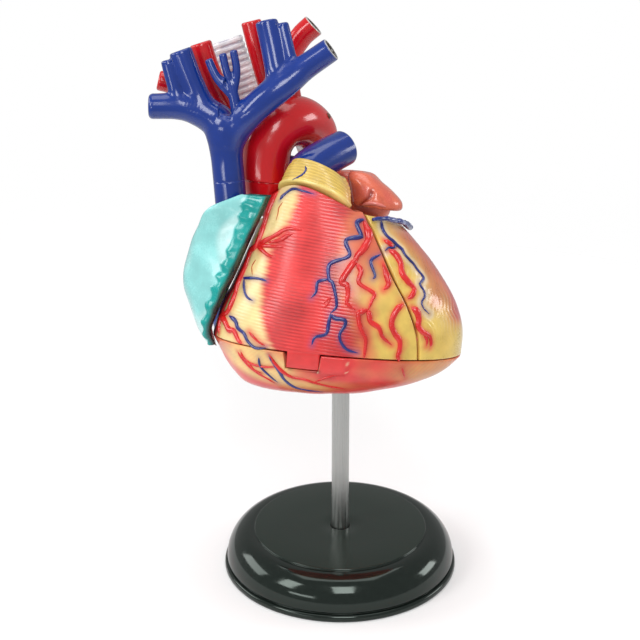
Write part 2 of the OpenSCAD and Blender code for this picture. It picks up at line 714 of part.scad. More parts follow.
// The trunk of the tree and its right-hand branch, as the model's own right and left are
right_vein_route = [cava_at + cava_up * 0.1, [-28.9, cava_y, 40.7], [-29.7, cava_y, 44.2],
    [-31.5, cava_y, 47.2], [-35.2, cava_y, 49], [-39.8, cava_y, 49.7], [-46.6, cava_y, 49.2]];
left_vein_route = [[-28.7, cava_y, 41.5], [-27.1, -2.4, 45.2], [-24.3, -4.6, 49.7],
    [-20.3, -5.2, 54], [-16.4, -5, 57.5], [-13.2, -5, 60.6], [-7.8, -6, 65.1]];
right_jugular_route = [[-34.3, cava_y, 49.4], [-37.8, cava_y, 55.8], [-40.6, cava_y, 61.9]];
left_jugular_route = [[-18.5, -4.4, 56], [-20.5, -2.6, 63.6], [-22.4, -1.6, 69.8]];
right_twig_route = [[-39.4, -1.6, 49.6], [-41.6, -1.6, 54.6], [-43.3, -1.6, 59.6]];
left_twig_route = [[-15.8, -4.2, 59.2], [-17.5, -2.8, 65], [-19, -2, 69.6]];
// What fills the fork between the two branches
fork_route = [[-29.4, -2, 43.4], [-29.3, -2.8, 46.4], [-29, -3.2, 49]];
// The stem in the fork and its three thin prongs
stem_route = [[-27, -4, 49.4], [-28.2, -4, 53.4], [-29, -4, 56.2]];
prong_routes = [[[-28.6, -4.1, 53.2], [-32, -4, 56.6], [-34.3, -3.6, 60.6]],
    [[-28.9, -4, 55.8], [-30, -4, 58], [-31.3, -3.8, 62.1]],
    [[-28.2, -4.1, 54], [-27.9, -4, 58.4], [-29, -3.8, 63]]];

module superior_vena_cava() {
    color(blue) in_heart() {
        tube(sized(lower_cava_route, cava_d / 2), 16);
        pin(cava_at - cava_up * 1.2, cava_at + cava_up * 3, peg_d * 1.5);
    }
}

module brachiocephalic_veins() {
    j = jugular_d / 2;
    s = small_vein_d / 2;
    v = vein_d / 2;
    trunk = cava_d / vein_d;
    color(blue) in_heart() difference() {
        union() {
            tube(smooth(sized(right_vein_route, v, [trunk, trunk, 1.25, 1.25, 1.12, 0.96, 0.93]), 2), 14);
            tube(smooth(sized(fork_route, v, [1, 1, 0.7]), 2), 12);
            tube(smooth(sized(left_vein_route, v, [0.98, 1.02, 1.05, 1.08, 1, 0.92, 0.88]), 2),
                12, mouth_depth);
            tube(sized(right_jugular_route, j, [1.15]), 12);
            tube(sized(left_jugular_route, j, [1.1]), 12);
            tube(sized(right_twig_route, s), 8);
            tube(sized(left_twig_route, s), 8);
            tube(smooth(sized(stem_route, s, [0.9, 0.8, 0.7]), 2), 8);
            for (route = prong_routes) tube(smooth(sized(route, s * 0.6, [1.03]), 2), 8);
        }
        pin(cava_at - cava_up, cava_at + cava_up * 3.4, peg_d * 1.5 + peg_fit);
    }
}

inferior_route = [[-28.8, 10.2, 9.6], [-27.8, 12.2, 5.4], [-26, 13.8, -1.4]];

module inferior_vena_cava() {
    color(blue) in_heart()
        tube(smooth(sized(inferior_route, lower_cava_d / 2, [0.82, 0.96, 1]), 3), 12, mouth_depth);
}

// ---------------------------------------------------------------- windpipe

windpipe_up = unit(saddle_top - saddle_root);
windpipe_tilt = atan2(windpipe_up[0], windpipe_up[2]);
windpipe_start = 2.2;
windpipe_len = 20;
cartilage_pitch = 1.4;

groove_depth = 0.25;
windpipe_bore = 0.66;

module trachea() {
    r = windpipe_d / 2;
    rib = cartilage_pitch / 4;
    ribs = floor(windpipe_len / cartilage_pitch);
    profile = [for (k = [0 : ribs - 1]) let (z = windpipe_start + k * cartilage_pitch)
        each [[r - groove_depth, z], [r, z + rib], [r, z + 2 * rib], [r - groove_depth, z + 3 * rib]]];
    top = windpipe_start + ribs * cartilage_pitch;
    color(white) in_heart() translate(saddle_top) rotate([0, windpipe_tilt, 0])
        rotate_extrude() polygon(concat([[r * windpipe_bore, windpipe_start]], profile,
            [[r - groove_depth, top], [r * windpipe_bore, top]]));
}

fork = saddle_top - 0.6 * windpipe_up;
right_bronchus_route = [fork, [-26, 14.6, 43], [-30.4, 15.2, 40.6]];
left_bronchus_route = [fork, [-19.4, 15.6, 43.5], [-17.4, 17, 41.8]];

module bronchi() {
    r = windpipe_d / 2;
    color(white) in_heart() difference() {
        union() {
            translate(saddle_top) rotate([0, windpipe_tilt, 0])
                cylinder(r = r * 0.9, h = windpipe_start - 0.1);
            tube(smooth(sized(right_bronchus_route, r, [0.62, 0.6, 0.56]), 3), 12, mouth_depth * 0.7);
            tube(smooth(sized(left_bronchus_route, r, [0.62, 0.58, 0.5]), 3), 12, mouth_depth * 0.7);
        }
        pin(saddle_root, saddle_top + 0.12 * (saddle_top - saddle_root), peg_d + peg_fit);
    }
}

display_base();
support_rod();
ventricle_floor();
rear_wall();
septum();
valve_crown();
tricuspid_valve();
mitral_valve();
aortic_valve();
pulmonary_valve();
right_ventricle_wall();
left_ventricle_wall();
great_cardiac_vein();
conus_cap();
pulmonary_trunk();
right_pulmonary_artery();
right_atrium();
right_auricle();
left_atrium();
left_auricle();
left_pulmonary_veins();
right_pulmonary_veins();
aortic_root();
aorta();
descending_aorta();
brachiocephalic_artery();
left_carotid_artery();
left_subclavian_artery();
superior_vena_cava();
brachiocephalic_veins();
inferior_vena_cava();
trachea();
bronchi();
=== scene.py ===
"""Painted take-apart model of the human heart on a rod and a round stand.

Shapes are in millimetres in the heart's own upright frame, whose z = 0 plane is the joint between
the ventricle walls and the floor, and are turned into the row's frame, in metres, by to_row().
"""

import json
import math

import bpy
import numpy as np
from bpy.props import FloatProperty, IntProperty, PointerProperty
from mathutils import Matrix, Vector
from mathutils.bvhtree import BVHTree


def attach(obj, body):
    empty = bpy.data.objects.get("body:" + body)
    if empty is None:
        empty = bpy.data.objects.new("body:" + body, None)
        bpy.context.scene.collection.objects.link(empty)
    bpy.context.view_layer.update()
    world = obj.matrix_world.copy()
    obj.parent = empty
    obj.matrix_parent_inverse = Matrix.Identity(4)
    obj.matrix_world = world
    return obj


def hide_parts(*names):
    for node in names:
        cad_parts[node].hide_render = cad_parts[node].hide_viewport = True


bl_info = {
    "name": "Heart model",
    "version": (1, 0, 0),
    "blender": (4, 5, 0),
    "location": "View3D > Sidebar > Heart",
    "description": "Builds a painted take-apart heart model round its packed construction",
    "category": "Object",
}

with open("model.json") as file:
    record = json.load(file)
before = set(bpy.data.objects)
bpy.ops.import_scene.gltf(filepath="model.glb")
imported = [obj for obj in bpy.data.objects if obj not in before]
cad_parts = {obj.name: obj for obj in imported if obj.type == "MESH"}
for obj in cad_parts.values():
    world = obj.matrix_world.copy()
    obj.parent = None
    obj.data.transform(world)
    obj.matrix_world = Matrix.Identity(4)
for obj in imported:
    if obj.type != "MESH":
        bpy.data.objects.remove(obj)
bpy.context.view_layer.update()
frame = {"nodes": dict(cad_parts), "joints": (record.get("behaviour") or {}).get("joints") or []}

MM = 0.001


# ---------------------------------------------------------------- frame of the heart

def joint_axis(name):
    """Direction of one of the frame's joints, as a unit vector."""
    axis = next(j["axis"] for j in frame["joints"] if j["name"] == name)
    return np.array(axis, float) / np.linalg.norm(axis)


CUT_Z = 56.5
HEART_UP = joint_axis("arch_lift")
HEART_FRONT = joint_axis("front_wall_pull")
HEART_RIGHT = np.cross(HEART_UP, HEART_FRONT)
TURN = np.column_stack([HEART_RIGHT, -HEART_FRONT, HEART_UP])
ROD_POINT = np.array([0.0, 0.0, CUT_Z])

# The camera stands where the photograph was taken from
CAMERA_AT = np.array([-4.7, -406.9, 245.0])
CAMERA_PITCH = math.radians(24.2)
FOCAL_PIXELS = 2000.0
IMAGE_SIZE = 640
SENSOR = 36.0
LOOK = np.array([0.0, math.cos(CAMERA_PITCH), -math.sin(CAMERA_PITCH)])
LOOK_UP = np.array([0.0, math.sin(CAMERA_PITCH), math.cos(CAMERA_PITCH)])


def to_row(points):
    """Heart frame in mm to row frame in mm: turned by the heart's lean, and put on the rod."""
    return points @ TURN.T + ROD_POINT


def unit(v):
    """Vectors along the last axis, each scaled to length 1."""
    v = np.asarray(v, float)
    return v / np.maximum(np.linalg.norm(v, axis=-1, keepdims=True), 1e-9)


def srgb(red, green, blue):
    """Linear colour of a screen colour given as 0 to 255."""
    c = np.array([red, green, blue]) / 255
    return tuple(np.where(c <= 0.04045, c / 12.92, ((c + 0.055) / 1.055) ** 2.4)) + (1.0,)


# ---------------------------------------------------------------- curves

def curve(rows, s):
    """Catmull-Rom curve through rows at parameters s, with its ends carried straight on."""
    rows = np.asarray(rows, float)
    s = np.asarray(s, float)
    ends = np.vstack([2 * rows[0] - rows[1], rows, 2 * rows[-1] - rows[-2]])
    i = np.clip(np.floor(s).astype(int), 0, len(rows) - 2)
    t = (s - i)[..., None]
    a, b, c, d = ends[i], ends[i + 1], ends[i + 2], ends[i + 3]
    return 0.5 * (2 * b + (c - a) * t + (2 * a - 5 * b + 4 * c - d) * t**2 + (3 * b - a - 3 * c + d) * t**3)


def smooth_rows(rows, steps):
    """The curve at steps points a row."""
    return curve(rows, np.linspace(0, len(rows) - 1, steps * (len(rows) - 1) + 1))


def power(v, exponent):
    """Signed power: keeps the sign of v."""
    return np.sign(v) * np.abs(v) ** exponent


def rise(x, low, high):
    """Smooth step from 0 at low to 1 at high."""
    t = np.clip((x - low) / (high - low), 0, 1)
    return t * t * (3 - 2 * t)


def ripple(points, pitch, seed):
    """Smooth noise between about -1 and 1: a sum of sine waves in fixed random directions, about pitch mm apart."""
    rng = np.random.default_rng(seed)
    waves = unit(rng.normal(size=(7, 3))) * rng.uniform(0.7, 1.4, (7, 1)) * 2 * math.pi / pitch
    return np.sin(points @ waves.T + rng.uniform(0, 2 * math.pi, 7)).sum(-1) / 3.2


# ---------------------------------------------------------------- skin of the ventricles

# Shares of the reaches, [left, right, front, rear], one row each ROW_PITCH mm upwards
UPPER_ROWS = [[1, 1, 1, 1], [0.955, 0.990, 1, 1], [0.875, 0.907, 0.965, 0.950], [0.800, 0.752, 0.890, 0.870],
              [0.728, 0.552, 0.780, 0.740], [0.650, 0.318, 0.640, 0.600], [0.550, 0.070, 0.470, 0.430]]
# The same below the joint plane, slower towards the bottom
LOWER_ROWS = [[1, 1, 1, 1], [0.935, 0.900, 0.960, 0.960], [0.880, 0.740, 0.880, 0.880],
              [0.815, 0.520, 0.760, 0.760], [0.735, 0.250, 0.600, 0.600], [0.600, -0.060, 0.380, 0.380]]
ROW_PITCH = 6.0
REACH_LEFT, REACH_RIGHT, REACH_FRONT, REACH_REAR = 28.7, 27.0, 19.5, 19.0
FLOOR_DEPTH = 11.0
SQUARENESS = 2.3
WALL_T = 2.0
SEAM_GAP = 0.3
SEAM_ROWS = [[16.4], [15.5], [12.9], [9.2], [6], [2.6], [-1]]
TOP_LEFT, TOP_SEAM, TOP_RIGHT = 33.6, 31.0, 28.2
REAR_START, REAR_END, EDGE_GAP = 18.0, 192.0, 1.5
CROWN_TOP = 26.5
# Joint plane between the front wall and the cap: its corner's x and y, and its slopes to the right and the rear
CAP_CORNER = (-16.8, -2.9)
CAP_FALL, CAP_LEAN, CAP_GAP = 0.562, 0.8255, 0.45


def shape_at(z):
    """Shares of the four reaches at height z; below the joint the rows run with the sine of the depth."""
    z = np.asarray(z, float)
    above = curve(UPPER_ROWS, np.maximum(z, 0) / ROW_PITCH)
    depth = np.degrees(np.arcsin(np.clip(-z / FLOOR_DEPTH, 0, 1)))
    below = curve(LOWER_ROWS, 5 * depth / 75)
    return np.where((z >= 0)[..., None], above, below)


def extents(z, inset=0.0):
    """Left, right, front and rear reach in mm at height z, drawn in by inset."""
    f = shape_at(z)
    return (f[..., 0] * REACH_LEFT - inset, f[..., 1] * REACH_RIGHT - inset,
            f[..., 2] * REACH_FRONT - inset, f[..., 3] * REACH_REAR - inset)


def skin(z, angle, inset=0.0):
    """Skin point at height z and angle in degrees: a superellipse between the left and right reach."""
    left, right, front, rear = extents(z, inset)
    a = np.radians(angle)
    deep = np.where(np.sin(a) < 0, front, rear)
    x = (right - left) / 2 + (right + left) / 2 * power(np.cos(a), 2 / SQUARENESS)
    y = deep * power(np.sin(a), 2 / SQUARENESS)
    return np.stack([x, y, z + 0 * x], -1)


def front_angle(z, x):
    """Angle on the front of the skin at which it stands at x."""
    left, right, _, _ = extents(z)
    c = np.clip((x - (right - left) / 2) / ((right + left) / 2), -1, 1)
    return 360 - np.degrees(np.arccos(power(c, SQUARENESS / 2)))


def seam_x(z):
    """x of the joint line between the two ventricle walls at height z."""
    z = np.asarray(z, float)
    return curve(SEAM_ROWS, np.maximum(z, 0) / ROW_PITCH)[..., 0]


def cap_joint(x, y):
    """Height of the joint plane between the front wall and the cap over a point."""
    return TOP_LEFT - CAP_FALL * (x - CAP_CORNER[0]) - CAP_LEAN * (y - CAP_CORNER[1])


def outside(points):
    """Above 0 outside the skin, below 0 inside: the superellipse's own sum of powers, less 1."""
    z = np.clip(points[..., 2], -10.6, 36.5)
    left, right, front, rear = extents(z)
    x = (points[..., 0] - (right - left) / 2) / ((right + left) / 2)
    y = points[..., 1] / np.where(points[..., 1] < 0, front, rear)
    return np.abs(x) ** SQUARENESS + np.abs(y) ** SQUARENESS - 1


def pixel_rays(pixels):
    """Start and directions, in the heart's frame, of the rays through pixels of the photograph."""
    pixels = np.asarray(pixels, float)
    half = IMAGE_SIZE / 2
    ray = LOOK * FOCAL_PIXELS + (pixels[:, :1] - half) * np.array([1.0, 0, 0]) - (pixels[:, 1:2] - half) * LOOK_UP
    return (CAMERA_AT - ROD_POINT) @ TURN, unit(ray @ TURN)


def on_skin(pixels):
    """Skin points under pixels: the ray is stepped from the front until it goes inside, and the last step is cut
    in proportion. A ray that misses takes its nearest point."""
    start, ray = pixel_rays(pixels)
    reach = np.linspace(400, 500, 900)
    value = outside(start + ray[:, None, :] * reach[None, :, None])
    hit = value < 0
    first = np.where(hit.any(1), hit.argmax(1), value.argmin(1))
    before = np.maximum(first - 1, 0)
    rows = np.arange(len(ray))
    share = value[rows, before] / np.maximum(value[rows, before] - value[rows, first], 1e-9)
    share = np.where(hit.any(1), np.clip(share, 0, 1), 1)
    distance = reach[before] + (reach[first] - reach[before]) * share
    return start + ray * distance[:, None]


def skin_normal(points):
    """Outward normal of the skin: the gradient of outside() by small steps."""
    step = 0.05
    return unit(np.stack([outside(points + step * e) - outside(points - step * e) for e in np.eye(3)], -1))


def seen_at(points):
    """Pixels of the photograph at which points of the heart's frame are seen."""
    away = to_row(points) - CAMERA_AT
    depth = (away @ LOOK)[..., None]
    return IMAGE_SIZE / 2 + FOCAL_PIXELS * np.stack([away[..., 0], -(away @ LOOK_UP)], -1) / depth


def along_line(points, pixels, wide):
    """Soft stripe of paint along a line drawn on the photograph, wide in pixels."""
    line = smooth_rows(pixels, 8)
    gap = np.linalg.norm(seen_at(points)[:, None, :] - line[None], axis=-1).min(1)
    return np.exp(-(gap / wide) ** 2)


# ---------------------------------------------------------------- meshes

def grid_quads(rows, cols, around=False):
    """Faces of a grid of rows by cols points, numbered row by row; around joins each row's ends."""
    i, k = np.meshgrid(np.arange(rows - 1), np.arange(cols if around else cols - 1), indexing="ij")
    a = i * cols + k
    b = i * cols + (k + 1) % cols
    return np.stack([a, b, b + cols, a + cols], -1).reshape(-1, 4)


def fan(ring, centre, flip=False):
    """Triangles from a ring of point numbers to one centre point."""
    after = np.roll(ring, -1)
    order = (after, ring) if flip else (ring, after)
    return np.stack([*order, np.full_like(ring, centre)], -1)


def add_piece(name, points, faces, material, body, replaces=(), marks=None, in_row=False):
    """Makes one piece: points in mm, faces as arrays of triangles or quads, and marks as named values per point."""
    points = np.asarray(points, float).reshape(-1, 3)
    if not in_row:
        points = to_row(points)
    mesh = bpy.data.meshes.new(name)
    corners = np.concatenate([f.ravel() for f in faces]).astype(np.int32)
    sizes = np.concatenate([np.full(len(f), f.shape[1]) for f in faces]).astype(np.int32)
    mesh.vertices.add(len(points))
    mesh.vertices.foreach_set("co", (points * MM).astype(np.float32).ravel())
    mesh.loops.add(len(corners))
    mesh.loops.foreach_set("vertex_index", corners)
    mesh.polygons.add(len(sizes))
    mesh.polygons.foreach_set("loop_start", np.concatenate([[0], np.cumsum(sizes)[:-1]]).astype(np.int32))
    mesh.polygons.foreach_set("use_smooth", np.ones(len(sizes), bool))
    mesh.update(calc_edges=True)
    mesh.validate()
    for key, values in (marks or {}).items():
        mesh.attributes.new(key, "FLOAT", "POINT").data.foreach_set("value", np.asarray(values, np.float32).ravel())
    piece = bpy.data.objects.new(name, mesh)
    bpy.context.scene.collection.objects.link(piece)
    mesh.materials.append(material)
    finish_piece(piece, body, replaces)
    return piece


def finish_piece(piece, body, replaces=()):
    """Says which body a piece rides on, which slot it takes its finish from and which nodes it stands for."""
    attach(piece, body)
    if replaces:
        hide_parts(*replaces)


def stack(rings):
    """Closed solid through rings of equally many points: quads between rings, and a fan to the middle of each end."""
    rings = np.asarray(rings, float)
    rows, cols = rings.shape[:2]
    points = np.vstack([rings.reshape(-1, 3), rings[0].mean(0), rings[-1].mean(0)])
    low = np.arange(cols)
    return points, [grid_quads(rows, cols, around=True), fan(low, rows * cols, flip=True),
                    fan(low + (rows - 1) * cols, rows * cols + 1)]


def join(parts):
    """Several (points, faces) as one, with the face numbers moved on."""
    points, faces, count = [], [], 0
    for p, fs in parts:
        points.append(p)
        faces += [f + count for f in fs]
        count += len(p)
    return np.vstack(points), faces


def headings(path):
    """Unit direction of a path at each of its points, from its neighbours."""
    return unit(np.gradient(path, axis=0))


def ring_about(centre, across, over, radius, sides):
    """Circles round centres, in the plane of two directions."""
    a = np.linspace(0, 2 * math.pi, sides, endpoint=False)
    radius = np.asarray(radius, float)[..., None, None]
    return centre[..., None, :] + radius * (np.cos(a)[:, None] * across[..., None, :]
                                            + np.sin(a)[:, None] * over[..., None, :])


RIM = 0.28
BORE_SHARE = 0.78


def tube(route, radius, shares=(), sides=36, steps=10, mouth=0.0, rounded=False, bevel=0.0):
    """Round tube along a smooth route: circles square to it, with radius times a share at each route point.
    mouth > 0 opens its last end to that depth, behind a rounded rim; rounded closes it with a dome, and bevel with a
    flat face behind a rounded edge of that size."""
    shares = list(shares) + [1.0] * (len(route) - len(shares))
    rows = smooth_rows(np.column_stack([np.asarray(route, float), np.array(shares) * radius]), steps)
    path, radii = rows[:, :3], rows[:, 3]
    ahead = headings(path)
    across = unit(np.cross(ahead, [0, 1, 0.01]))
    over = np.cross(ahead, across)
    if mouth > 0 or rounded or bevel > 0:
        length = np.r_[0, np.cumsum(np.linalg.norm(np.diff(path, axis=0), axis=1))]
        back = RIM if mouth > 0 else radii[-1] * 0.5 if rounded else bevel
        keep = length < length[-1] - back - 0.05
        keep[0] = True
        tip, tip_r, way = path[-1], radii[-1], ahead[-1]
        a = np.radians(np.array([0, 22, 45, 68, 90]))
        if mouth > 0:
            bore_r = tip_r * BORE_SHARE
            along = np.r_[-RIM + RIM * np.sin(a), -0.1, -0.3, -mouth * 0.5, -mouth]
            wide = np.r_[tip_r - RIM + RIM * np.cos(a), bore_r, bore_r, bore_r * 0.97, bore_r * 0.9]
        elif bevel > 0:
            along = np.r_[-bevel + bevel * np.sin(a), 0, 0]
            wide = np.r_[tip_r - bevel + bevel * np.cos(a), (tip_r - bevel) * 0.9, (tip_r - bevel) * 0.4]
        else:
            along = -back + back * np.sin(a[:-1])
            wide = tip_r * np.cos(a[:-1]) ** 0.8
        path = np.vstack([path[keep], tip + along[:, None] * way])
        count = len(along)
        across = np.vstack([across[keep], np.repeat(across[-1:], count, 0)])
        over = np.vstack([over[keep], np.repeat(over[-1:], count, 0)])
        radii = np.r_[radii[keep], wide]
    rings = ring_about(path, across, over, radii, sides)
    return stack(rings)


def mouth_of(route, radius, share=1.0, bore=BORE_SHARE, depth=3.0):
    """Where a tube's mouth is: its tip, direction, bore radius and depth, for bored()."""
    route = np.asarray(route, float)
    ahead = headings(smooth_rows(route, 10))[-1]
    return route[-1], ahead, radius * share * bore, depth


def bored(points, mouths):
    """1 inside the bore of any mouth, 0 elsewhere, with a soft edge: by distance from the mouth's axis."""
    dark = np.zeros(len(points))
    for tip, ahead, radius, depth in mouths:
        along = (points - tip) @ ahead
        off = np.linalg.norm(points - tip - along[:, None] * ahead, axis=1)
        inside = (1 - rise(off, radius + 0.02, radius + 0.22)) * rise(-along, -0.05, 0.08) * (along > -depth - 0.5)
        dark = np.maximum(dark, inside)
    return dark


def lathe(profile, sides, about=None):
    """Profile of [radius, height] turned round an axis: the row's Z, or about, a (start, direction) in any frame."""
    profile = np.asarray(profile, float)
    if about is None:
        start, ahead = np.zeros(3), np.array([0.0, 0, 1])
    else:
        start, ahead = np.asarray(about[0], float), unit(about[1])
    across = unit(np.cross(ahead, [0.0, 1, 0.01]))
    over = np.cross(ahead, across)
    centres = start + profile[:, 1:2] * ahead
    n = len(profile)
    rings = ring_about(centres, np.repeat(across[None], n, 0), np.repeat(over[None], n, 0), profile[:, 0], sides)
    return stack(rings)


PIN_SIDES = 20
PIN_EDGE = 0.2


def pin(start, end, diameter):
    """Round pin from one point to another with rounded ends."""
    start, end = np.asarray(start, float), np.asarray(end, float)
    length = np.linalg.norm(end - start)
    r = diameter / 2
    profile = [[r - PIN_EDGE, 0], [r, PIN_EDGE], [r, length - PIN_EDGE], [r - PIN_EDGE, length]]
    return lathe(profile, PIN_SIDES, about=(start, end - start))


def lump_rings(rows, steps, sides, fall=0.0, level_at=0.0):
    """Ellipses from rows of [height, centre x, centre y, half width, half depth], each level falling to the right."""
    r = smooth_rows(rows, steps)[:, None, :]
    a = np.linspace(0, 2 * math.pi, sides, endpoint=False)[None, :]
    x = r[..., 1] + r[..., 3] * np.cos(a)
    return np.stack([x, r[..., 2] + r[..., 4] * np.sin(a), r[..., 0] - fall * (x - level_at)], -1)


def grid_normals(points):
    """Normals of a grid of points, from its two directions."""
    return unit(np.cross(np.gradient(points, axis=1), np.gradient(points, axis=0)))


def union_distance(points, tubes, soft):
    """Distance to the smooth union of tubes: each tube is a chain of cones with round joints, and the nearest values
    are blended by minus soft times the log of the sum of exp(-distance / soft)."""
    start = np.vstack([t[:-1, :3] for t in tubes])
    span = np.vstack([np.diff(t[:, :3], axis=0) for t in tubes])
    radius = np.concatenate([t[:-1, 3] for t in tubes])
    grow = np.concatenate([np.diff(t[:, 3]) for t in tubes])
    first = np.r_[0, np.cumsum([len(t) - 1 for t in tubes])[:-1]]
    length2 = np.maximum((span**2).sum(1), 1e-9)
    found = np.empty(len(points))
    for k in range(0, len(points), 6000):
        away = points[k:k + 6000, None, :] - start[None]
        share = np.clip((away * span).sum(-1) / length2, 0, 1)
        gap = np.linalg.norm(away - share[..., None] * span, axis=-1) - radius - share * grow
        near = np.minimum.reduceat(gap, first, axis=1)
        found[k:k + 6000] = -soft * np.log(np.exp(-np.clip(near / soft, -30, 30)).sum(1))
    return found


def melt(piece, routes, voxel, rounds=3, soft=0.3):
    """Joins the overlapping tubes of a piece into one skin: a voxel remesh, a few rounds of smoothing, and then each
    point moved along its normal on to the smooth union of the tubes, except round their free ends."""
    remesh = piece.modifiers.new("melt", "REMESH")
    remesh.mode = "VOXEL"
    remesh.voxel_size = voxel * MM
    remesh.use_smooth_shade = True
    soften = piece.modifiers.new("soften", "SMOOTH")
    soften.factor = 0.5
    soften.iterations = rounds
    bpy.context.view_layer.update()
    done = bpy.data.meshes.new_from_object(piece.evaluated_get(bpy.context.evaluated_depsgraph_get()))
    piece.modifiers.clear()
    materials = [m for m in piece.data.materials]
    piece.data = done
    done.materials.clear()
    for m in materials:
        done.materials.append(m)
    tubes = [smooth_rows(np.column_stack([np.array(route, float), np.array(list(shares) + [1.0] * (len(route)
             - len(shares))) * radius]), 6) for route, radius, shares, _ in routes]
    points = piece_points(piece)
    normals = np.zeros(len(points) * 3, np.float32)
    free = np.ones(len(points))
    for t in tubes:
        ahead = unit(t[-1, :3] - t[-2, :3])
        along = (points - t[-1, :3]) @ ahead
        off = np.linalg.norm(points - t[-1, :3] - along[:, None] * ahead, axis=1)
        free *= 1 - rise(along, -1.3, -0.6) * (off < t[-1, 3] + 0.4)
    for _ in range(3):
        done.vertices.foreach_get("normal", normals)
        facing = normals.reshape(-1, 3).astype(float) @ TURN
        move = np.clip(union_distance(points, tubes, soft), -0.3, 0.3) * free
        points = points - facing * move[:, None]
        done.vertices.foreach_set("co", (to_row(points) * MM).astype(np.float32).ravel())
        done.update()
    done.polygons.foreach_set("use_smooth", np.ones(len(done.polygons), bool))
    return piece


def piece_points(piece):
    """A piece's points in the heart's frame, in mm."""
    co = np.zeros(len(piece.data.vertices) * 3, np.float32)
    piece.data.vertices.foreach_get("co", co)
    return (co.reshape(-1, 3).astype(float) / MM - ROD_POINT) @ TURN


def on_piece(piece, pixels):
    """Points of a piece under pixels of the photograph, and its normals there, in the heart's frame."""
    tree = BVHTree.FromObject(piece, bpy.context.evaluated_depsgraph_get())
    start, rays = pixel_rays(pixels)
    hits = [tree.ray_cast(Vector(to_row(start) * MM), Vector(TURN @ ray)) for ray in rays]
    hits = [(place, normal) for place, normal, _, _ in hits if place is not None]
    if not hits:
        raise RuntimeError("no pixel of this line meets " + piece.name)
    places = (np.array([list(h[0]) for h in hits]) / MM - ROD_POINT) @ TURN
    return places, np.array([list(h[1]) for h in hits]) @ TURN


def mark(piece, key, values):
    """Keeps one value per point under a name that the materials read."""
    layer = piece.data.attributes.new(key, "FLOAT", "POINT")
    layer.data.foreach_set("value", np.asarray(values, np.float32).ravel())


def nearness(points, paths, reach):
    """exp(-(distance / reach)^2) from each point to the nearest of the paths' points, worked out in blocks."""
    if not len(paths):
        return np.zeros(len(points))
    marks = np.vstack(paths)
    near = np.empty(len(points))
    for first in range(0, len(points), 4000):
        block = points[first:first + 4000]
        near[first:first + 4000] = ((block[:, None, :] - marks[None]) ** 2).sum(-1).min(1)
    return np.exp(-near / reach**2)


# ---------------------------------------------------------------- shader groups and paints

def new_group(name, inputs, outputs):
    """A shader node group with named sockets; inputs are (kind, name, default)."""
    group = bpy.data.node_groups.new(name, "ShaderNodeTree")
    for kind, label, default in inputs:
        socket = group.interface.new_socket(name=label, in_out="INPUT", socket_type=kind)
        socket.default_value = default
    for kind, label in outputs:
        group.interface.new_socket(name=label, in_out="OUTPUT", socket_type=kind)
    return group, group.nodes.new("NodeGroupInput"), group.nodes.new("NodeGroupOutput")


def node(tree, kind, links=(), **settings):
    """Adds a node, sets its properties and input values, and links (socket, from) pairs to it."""
    made = tree.nodes.new(kind)
    for key, value in settings.items():
        if key.startswith("in_"):
            made.inputs[int(key[3:])].default_value = value
        else:
            setattr(made, key, value)
    for socket, source in links:
        tree.links.new(source, made.inputs[socket])
    return made


def mixed(tree, factor, first, second, blend="MIX"):
    """Colour mix of two colours or sockets by a factor or a socket."""
    made = tree.nodes.new("ShaderNodeMix")
    made.data_type = "RGBA"
    made.blend_type = blend
    for index, value in ((0, factor), (6, first), (7, second)):
        if isinstance(value, bpy.types.NodeSocket):
            tree.links.new(value, made.inputs[index])
        else:
            made.inputs[index].default_value = value
    return made.outputs[2]


def sprayed_group():
    """Airbrushed paint: two sizes of noise shift a colour's value a little, vary its gloss and raise orange peel."""
    group, start, end = new_group(
        "sprayed paint",
        [("NodeSocketColor", "Color", (0.8, 0.8, 0.8, 1)), ("NodeSocketFloat", "Gloss", 0.3),
         ("NodeSocketFloat", "Mottle", 0.12), ("NodeSocketFloat", "Peel", 0.1)],
        [("NodeSocketColor", "Color"), ("NodeSocketFloat", "Roughness"), ("NodeSocketVector", "Normal")])
    place = node(group, "ShaderNodeTexCoord").outputs["Object"]
    cloud = node(group, "ShaderNodeTexNoise", [("Vector", place)], in_2=260.0, in_3=3.0)
    fine = node(group, "ShaderNodeTexNoise", [("Vector", place)], in_2=2600.0, in_3=2.0)
    shade = node(group, "ShaderNodeMapRange", [(0, cloud.outputs[0])], in_1=0.3, in_2=0.7, in_3=-1.0, in_4=1.0)
    amount = node(group, "ShaderNodeMath", [(0, shade.outputs[0]), (1, start.outputs["Mottle"])], operation="MULTIPLY")
    value = node(group, "ShaderNodeMath", [(0, amount.outputs[0])], operation="ADD", in_1=1.0)
    tone = node(group, "ShaderNodeHueSaturation", [("Value", value.outputs[0]), ("Color", start.outputs["Color"])])
    spread = node(group, "ShaderNodeMath", [(0, fine.outputs[0])], operation="MULTIPLY_ADD", in_1=0.16, in_2=-0.08)
    cloudy = node(group, "ShaderNodeMath", [(0, cloud.outputs[0]), (2, spread.outputs[0])],
                  operation="MULTIPLY_ADD", in_1=0.2)
    gloss = node(group, "ShaderNodeMath", [(0, start.outputs["Gloss"]), (1, cloudy.outputs[0])], operation="ADD")
    lower = node(group, "ShaderNodeMath", [(0, gloss.outputs[0])], operation="SUBTRACT", in_1=0.1)
    bump = node(group, "ShaderNodeBump", [("Height", fine.outputs[0]), ("Strength", start.outputs["Peel"])])
    bump.inputs["Distance"].default_value = 0.00006
    group.links.new(tone.outputs[0], end.inputs["Color"])
    group.links.new(lower.outputs[0], end.inputs["Roughness"])
    group.links.new(bump.outputs[0], end.inputs["Normal"])
    return group


GROUPS = {}


def shared(name, build):
    """A group built once and used by every material that asks for it."""
    if name not in GROUPS:
        GROUPS[name] = build()
    return GROUPS[name]


